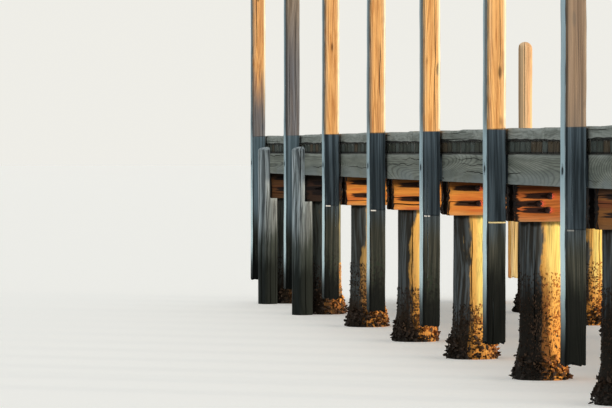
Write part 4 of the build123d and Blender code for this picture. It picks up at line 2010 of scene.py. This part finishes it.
@dataclass
class Deck(SawnWork):
    """Deck planks, a node for each bay."""

    slot: ClassVar[Slot] = Slot.DECK
    arris: float = 0.006
    crown: tuple[float, float, int] = (0.0015, 1.4, 2)
    splits: tuple = ((0.002, 0.005), (0.006, 0.014), (0.05, 0.3), 0.006)
    per_face: tuple[int, ...] = (0, 0, 2, 0)
    split_ends: float = 0.7
    seed: int = 503
    grain: Grain = Grain(
        pale=(0.40, 0.38, 0.33), dark=(0.20, 0.19, 0.165), worn=(0.45, 0.43, 0.38), ring_pitch=0.016,
        ring_strength=0.3
    )

    def dressed_nodes(self) -> list[tuple[str, Material]]:
        """Its CAD nodes with their finish."""
        material = DeckFinish("deck_timber", self.grain).build()
        return [(node, material) for node in numbered("deck_bay_")]

    def timber(self, splitter: Splitter, box: Corners, index: int) -> tuple[SquaredTimber, float, Span]:
        """One plank."""
        rng = splitter.rng
        timber = SquaredTimber(
            rng, box, self.lie, station=0.14, ragged=(0.006, 0.006), arris=self.arris, wobble=0.0008,
            checks=splitter.faces(self.per_face, self.lie.sizes(box)[0], self.split_ends),
            crown=Ripple(rng, *self.crown)
        )
        heart = (rng.uniform(-0.08, 0.08), -rng.uniform(0.02, 0.2))
        return timber, rng.uniform(0.0, 1.0), heart


@dataclass
class Kerbs(SawnWork):
    """Kerbs along both edges and across the head, their tops worn uneven."""

    slot: ClassVar[Slot] = Slot.KERB
    nodes: tuple[str, ...] = ("near_kerb", "far_kerb", "head_kerb")
    arris: float = 0.014
    unevenness: tuple[float, float, int] = (0.006, 1.6, 4)
    splits: tuple = ((0.003, 0.009), (0.012, 0.03), (0.08, 0.4), 0.003)
    per_face: tuple[int, ...] = (0, 2, 3, 2)
    split_ends: float = 0.5
    tones: Span = (0.35, 0.8)
    seed: int = 601
    grain: Grain = Grain(
        pale=(0.36, 0.38, 0.34), dark=(0.165, 0.182, 0.155), worn=(0.42, 0.44, 0.40), ring_pitch=0.018,
        ring_strength=0.35, fibre_strength=0.65
    )

    def dressed_nodes(self) -> list[tuple[str, Material]]:
        """Its CAD nodes with their finish."""
        material = KerbFinish("kerb_timber", self.grain).build()
        return [(node, material) for node in self.nodes]

    def timber(self, splitter: Splitter, box: Corners, index: int) -> tuple[SquaredTimber, float, Span]:
        """One kerb."""
        rng, size = splitter.rng, box[1] - box[0]
        lie = Lie.ALONG if size.x > size.y else Lie.ACROSS
        timber = SquaredTimber(
            rng, box, lie, station=0.06, ragged=(0.01, 0.01), arris=self.arris, wobble=0.0,
            checks=splitter.faces(self.per_face, lie.sizes(box)[0], self.split_ends),
            crown=Ripple(rng, *self.unevenness)
        )
        return timber, rng.uniform(*self.tones), (rng.uniform(-0.04, 0.04), -0.02)


@dataclass
class Ironwork:
    """Bolts, nuts, washers and spikes."""

    crossheads: Crossheads
    posts: Posts
    bolt_radius: float = 0.011
    nut_radius: float = 0.023
    nut_height: float = 0.019
    washer_radius: float = 0.028
    washer_height: float = 0.006
    tail: float = 0.030
    sunk_tail: float = 0.004
    spike_radius: float = 0.009
    spike_inset: float = 0.045
    spike_apart: float = 0.04
    spike_sways: Span = (0.008, 0.01)
    cap_seed: int = 907
    post_seed: int = 911
    spike_seed: int = 919

    def nut(self, shape: Shape, seat: Vector, axis: Vector, turn: float, tail: float) -> None:
        """A washer, a nut and the bolt's end on a face.

        Args:
            shape: the shape that takes them.
            seat: the place on the face.
            axis: the face's outward direction.
            turn: the nut's angle.
            tail: how far the bolt stands out of the nut.
        """
        washer, rim = self.washer_height, self.washer_radius
        top, flat = washer + self.nut_height, self.nut_radius
        end, bolt = top + tail, self.bolt_radius
        parts = (
            Turned(((rim, -0.004), (rim, washer * 0.7), (rim - 0.002, washer)), 20),
            Turned(((flat, washer), (flat, top - 0.008), (flat * 0.62, top)), 6, turn),
            Turned(((bolt, top - 0.002), (bolt, end - 0.003), (bolt * 0.7, end)), 12)
        )
        for part in parts:
            part.build(shape, seat, axis)

    def build(self) -> list[Piece]:
        """Make all the ironwork."""
        material = IronFinish().build()
        return [self.cap_bolts(material), self.post_bolts(material), self.spikes(material)]

    def cap_bolts(self, material: Material) -> Piece:
        """Bolts through the half-caps and tenons.

        Args:
            material: their finish.

        Returns:
            The piece.
        """
        rng = np.random.default_rng(self.cap_seed)
        shape = Shape()
        for bent, node in enumerate(numbered("crosshead_")):
            low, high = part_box(node)
            ends = ((low.x, -1.0), (high.x, 1.0))
            places = [(*bolt, side) for bolt in self.crossheads.bolts(bent) for side in (-1.0, 1.0)]
            for reach, height, side in places:
                for face, outward in ends:
                    seat = Vector((face, side * reach, height))
                    turn = rng.uniform(0.0, math.pi)
                    tail = self.tail * rng.uniform(0.6, 1.2)
                    self.nut(shape, seat, Vector((outward, 0.0, 0.0)), turn, tail)
        return shape.object("crosshead_bolts", material, Slot.CROSSHEAD)

    def post_bolts(self, material: Material) -> Piece:
        """Bolt heads sunk in the posts, and their nuts behind the stringers.

        Args:
            material: their finish.

        Returns:
            The piece.
        """
        rng = np.random.default_rng(self.post_seed)
        shape = Shape()
        height = self.posts.recess_height
        stringers = {-1.0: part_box("near_stringer")[1].y, 1.0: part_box("far_stringer")[0].y}
        names = ["far_fender_posts", *numbered("near_fender_post_")]
        for low, high in (self.posts.parted(solid)[0] for name in names for solid in solid_boxes(name)):
            outward = side_of((low, high))
            middle = (low.x + high.x) / 2
            floor = (low.y if outward < 0 else high.y) - outward * self.posts.recess_depth
            ends = ((floor, outward, self.sunk_tail), (stringers[outward], -outward, self.tail))
            for seat, way, tail in ends:
                turn = rng.uniform(0.0, math.pi)
                self.nut(shape, Vector((middle, seat, height)), Vector((0.0, way, 0.0)), turn, tail)
        return shape.object("post_bolts", material, Slot.POST)

    def spikes(self, material: Material) -> Piece:
        """Spike heads in the deck, two at each stringer that a plank crosses.

        Args:
            material: their finish.

        Returns:
            The piece.
        """
        rng = np.random.default_rng(self.spike_seed)
        shape = Shape()
        sway_x, sway_y = self.spike_sways
        lines = sorted({round((low.y + high.y) / 2, 3) for low, high in solid_boxes("inner_stringers")})
        head = ((self.spike_radius, -0.004), (self.spike_radius, 0.001), (self.spike_radius * 0.5, 0.003))
        planks = [plank for bay in numbered("deck_bay_") for plank in solid_boxes(bay)]
        for low, high in planks:
            middle = (low.x + high.x) / 2
            for line, side in ((line, side) for line in lines for side in (-1.0, 1.0)):
                x = middle + side * self.spike_inset + rng.uniform(-sway_x, sway_x)
                y = line + side * self.spike_apart + rng.uniform(-sway_y, sway_y)
                Turned(head, 8).build(shape, Vector((x, y, high.z - 0.001)), Vector((0.0, 0.0, 1.0)))
        return shape.object("deck_spikes", material, Slot.DECK)


@dataclass
class Scatter:
    """Small plates of one kind, spread round a pile."""

    count: int
    top: float
    crowd: float
    size: tuple[float, float]
    stand: tuple[float, float]
    sides: int = 6
    slender: float = 0.62
    upright: bool = False
    closed: bool = True
    clump: float = 0.0
    climbs: bool = True
    foot_gap: float = 0.008
    skin: float = 0.003
    lowest: float = 0.0005

    def build(self, shape: Shape, rng: Dice, centre: Span, radius: Curve, share: float) -> None:
        """Add the plates of one pile.

        Args:
            shape: the shape that takes them.
            rng: its random source.
            centre: the pile's middle.
            radius: the pile's radius at each height.
            share: how far up the plates reach, as a share of their top.
        """
        top = self.top * (share if self.climbs else 1.0)
        height = top * rng.uniform(0.0, 1.0, self.count) ** self.crowd + self.foot_gap
        angle = rng.uniform(0.0, math.tau, self.count)
        size = rng.uniform(*self.size, self.count)
        lobes = np.sin(3 * angle + rng.uniform(0, 6)) * np.sin(5 * angle + 14 * height + rng.uniform(0, 6))
        clump = self.clump * lobes * np.clip(1.2 - height / self.top, 0.0, 1.0)
        reach = radius(height) + self.skin + (rng.uniform(*self.stand, self.count) + clump)
        out, aside = centre[0] + reach * np.cos(angle), centre[1] + reach * np.sin(angle)
        place = np.stack([out, aside, height], axis=1)
        frames = np.stack(self.frames(rng, angle), axis=1)
        local = self.plate(rng, size)
        placed = np.einsum("nki,nij->nkj", local, frames) + place[:, None]
        placed[..., 2] = np.maximum(placed[..., 2], self.lowest)
        columns = local.shape[1]
        starts = np.arange(self.count)[:, None] * columns
        rim = np.arange(self.sides)
        following = (rim + 1) % self.sides
        fans = [(starts + rim, starts + following, starts + self.sides + 0 * rim)]
        if self.closed:
            fans.append((starts + following, starts + rim, starts + self.sides + 1 + 0 * rim))
        faces = [tuple(face) for fan in fans for face in np.stack(fan, axis=-1).reshape(-1, 3).tolist()]
        shape.join(placed.reshape(-1, 3), faces, tone=np.repeat(self.tones(rng, angle, height), columns))

    def plate(self, rng: Dice, size: Array) -> Array:
        """Points of every plate in its own frame: a ragged rim, a crown and, if closed, a back.

        Args:
            rng: the random source.
            size: size of each plate.

        Returns:
            The points of each plate.
        """
        turns = np.arange(self.sides) * math.tau / self.sides
        lengths = size[:, None] * rng.uniform(0.7, 1.25, (self.count, self.sides))
        lift = rng.uniform(-0.12, 0.12, (self.count, self.sides)) * size[:, None]
        rim = np.stack([lengths * np.cos(turns), self.slender * lengths * np.sin(turns), lift], axis=-1)
        zero = np.zeros(self.count)
        crown = np.stack([0.3 * size, zero, 0.42 * size], axis=-1)[:, None]
        back = np.stack([zero, zero, -0.18 * size], axis=-1)[:, None]
        return np.concatenate([rim, crown, back] if self.closed else [rim, crown], axis=1)

    def frames(self, rng: Dice, angle: Array) -> tuple[Array, Array, Array]:
        """Length, breadth and crown directions of every plate.

        Args:
            rng: the random source.
            angle: where each plate is round the pile.

        Returns:
            The three directions.
        """
        lean = rng.uniform(-0.25, 0.45, self.count) if self.upright else rng.uniform(-0.5, 0.7, self.count)
        out = np.stack([np.cos(angle), np.sin(angle), lean], axis=1)
        out /= np.linalg.norm(out, axis=1)[:, None]
        guide = rng.uniform(-1.0, 1.0, (self.count, 3))
        if self.upright:
            guide = guide * 0.35 + np.array([0.0, 0.0, 1.0])
        side = np.cross(out, guide)
        side /= np.linalg.norm(side, axis=1)[:, None]
        on_edge = (rng.uniform(0.0, 1.0, self.count) < (0.0 if self.upright else 0.55))[:, None]
        normal = np.where(on_edge, np.cross(out, side), out)
        return np.cross(side, normal), side, normal

    def tones(self, rng: Dice, angle: Array, height: Array) -> Array:
        """How pale each plate is: black or golden, with painted shade towards the seaward side, painted
        light towards the +Y side, and darker towards the foot.

        Args:
            rng: the random source.
            angle: where each plate is round the pile.
            height: how high each plate is.

        Returns:
            The tones.
        """
        # Plates on the +Y side are more often golden and paler: painted light.
        lit = np.clip((np.sin(angle) - 0.05) / 0.35, 0.0, 1.0)
        share = 0.47 + 0.4 * np.clip(height / 0.3 - 0.4, 0.0, 1.0) + 0.15 * lit
        golden = rng.uniform(0.0, 1.0, self.count) < share
        tone = np.where(golden, rng.uniform(0.5, 1.0, self.count), rng.uniform(0.05, 0.4, self.count))
        # Plates on the seaward side are darkened: painted shade.
        seaward = np.clip((-np.sin(angle) - 0.05) / 0.25, 0.0, 1.0)
        low = np.clip(1.0 - height / 0.26, 0.0, 1.0)
        return tone * (1.0 - 0.92 * seaward) * (1.0 - 0.55 * low) * (0.55 + 0.5 * lit)


@dataclass
class ShellGrowth:
    """Shells, weed and flaking bark round the foot of every pile."""

    piles: Piles
    kinds: tuple[Scatter, ...] = (
        Scatter(2500, 0.86, 1.5, (0.007, 0.015), (-0.004, 0.003), 4, 0.42, upright=True, closed=False),
        Scatter(950, 0.62, 1.6, (0.009, 0.021), (-0.01, 0.007), 5),
        Scatter(560, 0.20, 1.3, (0.012, 0.032), (-0.012, 0.022), 6, clump=0.022, climbs=False)
    )
    bents: int = 7
    seed: int = 1009

    def build(self) -> list[Piece]:
        """Make the growth of both rows.

        Returns:
            The pieces.
        """
        material = ShellFinish().build()
        pieces = []
        for row_index, row in enumerate(("near", "far")):
            rng = np.random.default_rng(self.seed + row_index)
            shape = Shape()
            for bent in range(self.bents):
                low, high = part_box(f"{row}_pile_{bent}")
                centre = ((low.x + high.x) / 2, (low.y + high.y) / 2)
                share = self.piles.crust_tops[bent] / self.piles.crust_tops[0]
                for kind in self.kinds:
                    kind.build(shape, rng, centre, self.piles.radius_at, share)
            pieces.append(shape.object(f"{row}_pile_shells", material, Slot.PILE))
        return pieces


# Studio


@dataclass(frozen=True)
class Lamp:
    """A far lamp with a soft edge; its angles are in degrees, and the turn is from +Y towards +X."""

    name: str
    azimuth: float
    rise: float
    spread: float
    power: float
    colour: Colour


@dataclass
class Studio:
    """Pale floor and backdrop, soft lamps and the camera at the photograph's place."""

    camera_place: tuple[float, float, float] = (32.175, -7.25, 1.85)
    camera_turn: float = 8.66
    camera_dip: float = 0.893
    lens: float = 200.0
    farthest: float = 500.0
    floor_reach: float = 400.0
    floor_height: float = -0.001
    floor_colour: Colour = (0.80, 0.78, 0.73)
    floor_rough: float = 0.9
    floor_glow: float = 0.34
    backdrop_colour: Colour = (0.86, 0.85, 0.80)
    fill_colour: Colour = (0.86, 0.93, 1.0)
    fill: float = 0.42
    lamps: tuple[Lamp, ...] = (
        Lamp("key", 30.0, 1.4, 1.6, 4.0, (1.0, 0.88, 0.72)),
        Lamp("sky", 184.0, 20.0, 80.0, 0.42, (0.74, 0.90, 1.0)),
        Lamp("top", 150.0, 78.0, 60.0, 0.7, (1.0, 0.98, 0.95))
    )

    def build(self) -> None:
        """Set up the whole studio."""
        bpy.context.scene.view_settings.view_transform = "Standard"
        self.world()
        self.floor()
        for lamp in self.lamps:
            self.light(lamp)
        self.camera()

    def world(self) -> None:
        """A pale backdrop that also fills the shade."""
        world = bpy.data.worlds.new("studio")
        board = Board(world)
        backdrop = board.node("ShaderNodeBackground", {}, {"Color": self.backdrop_colour})
        fill = board.node("ShaderNodeBackground", {}, {"Color": self.fill_colour, "Strength": self.fill})
        shown = board.node("ShaderNodeMixShader", {}, {0: board.seen(), 1: fill, 2: backdrop})
        board.add("ShaderNodeOutputWorld", {}, {"Surface": shown})
        bpy.context.scene.world = world

    def floor(self) -> None:
        """A wide plain floor at the feet of the piles."""
        reach, height = self.floor_reach, self.floor_height
        mesh = bpy.data.meshes.new("floor")
        corners = [(x * reach, y * reach, height) for x, y in ((-1, -1), (1, -1), (1, 1), (-1, 1))]
        mesh.from_pydata(corners, [], [(0, 1, 2, 3)])
        board = Board(bpy.data.materials.new("floor"))
        shown = board.blend(board.seen(), (0.0, 0.0, 0.0), self.floor_colour)
        sockets = {"Base Color": self.floor_colour, "Roughness": self.floor_rough}
        sockets |= {"Emission Color": shown, "Emission Strength": self.floor_glow}
        shader = board.node("ShaderNodeBsdfPrincipled", {}, sockets)
        board.add("ShaderNodeOutputMaterial", {}, {"Surface": shader})
        mesh.materials.append(board.owner)
        floor = bpy.data.objects.new("floor", mesh)
        bpy.context.scene.collection.objects.link(floor)

    def light(self, lamp: Lamp) -> None:
        """Hang one lamp.

        Args:
            lamp: the lamp.
        """
        data = bpy.data.lights.new(lamp.name, "SUN")
        data.angle = math.radians(lamp.spread)
        data.energy = lamp.power
        data.color = lamp.colour
        hung = bpy.data.objects.new(lamp.name, data)
        turn, rise = math.radians(lamp.azimuth), math.radians(lamp.rise)
        towards = Vector((math.sin(turn) * math.cos(rise), math.cos(turn) * math.cos(rise), math.sin(rise)))
        hung.rotation_euler = towards.to_track_quat("Z", "Y").to_euler()
        bpy.context.scene.collection.objects.link(hung)

    def camera(self) -> None:
        """The camera, low over the water and looking along the jetty."""
        data = bpy.data.cameras.new("camera")
        data.lens = self.lens
        data.clip_end = self.farthest
        camera = bpy.data.objects.new("camera", data)
        turn, dip = math.radians(self.camera_turn), math.radians(self.camera_dip)
        ahead = Vector((-math.cos(turn) * math.cos(dip), math.sin(turn) * math.cos(dip), -math.sin(dip)))
        camera.location = self.camera_place
        camera.rotation_euler = ahead.to_track_quat("-Z", "Y").to_euler()
        bpy.context.scene.collection.objects.link(camera)
        bpy.context.scene.camera = camera


def main() -> None:
    """Build the jetty's looks."""
    logging.basicConfig(level=logging.INFO, format="%(message)s")
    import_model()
    posts, crossheads, piles = Posts(), Crossheads(), Piles()
    timbers = (posts, crossheads, piles, Poles(), Stringers(), Deck(), Kerbs())
    for assembly in (*timbers, Ironwork(crossheads, posts), ShellGrowth(piles)):
        pieces = assembly.build()
        LOG.info("%s: %d pieces", type(assembly).__name__, len(pieces))
    Studio().build()


if __name__ == "__main__":
    main()
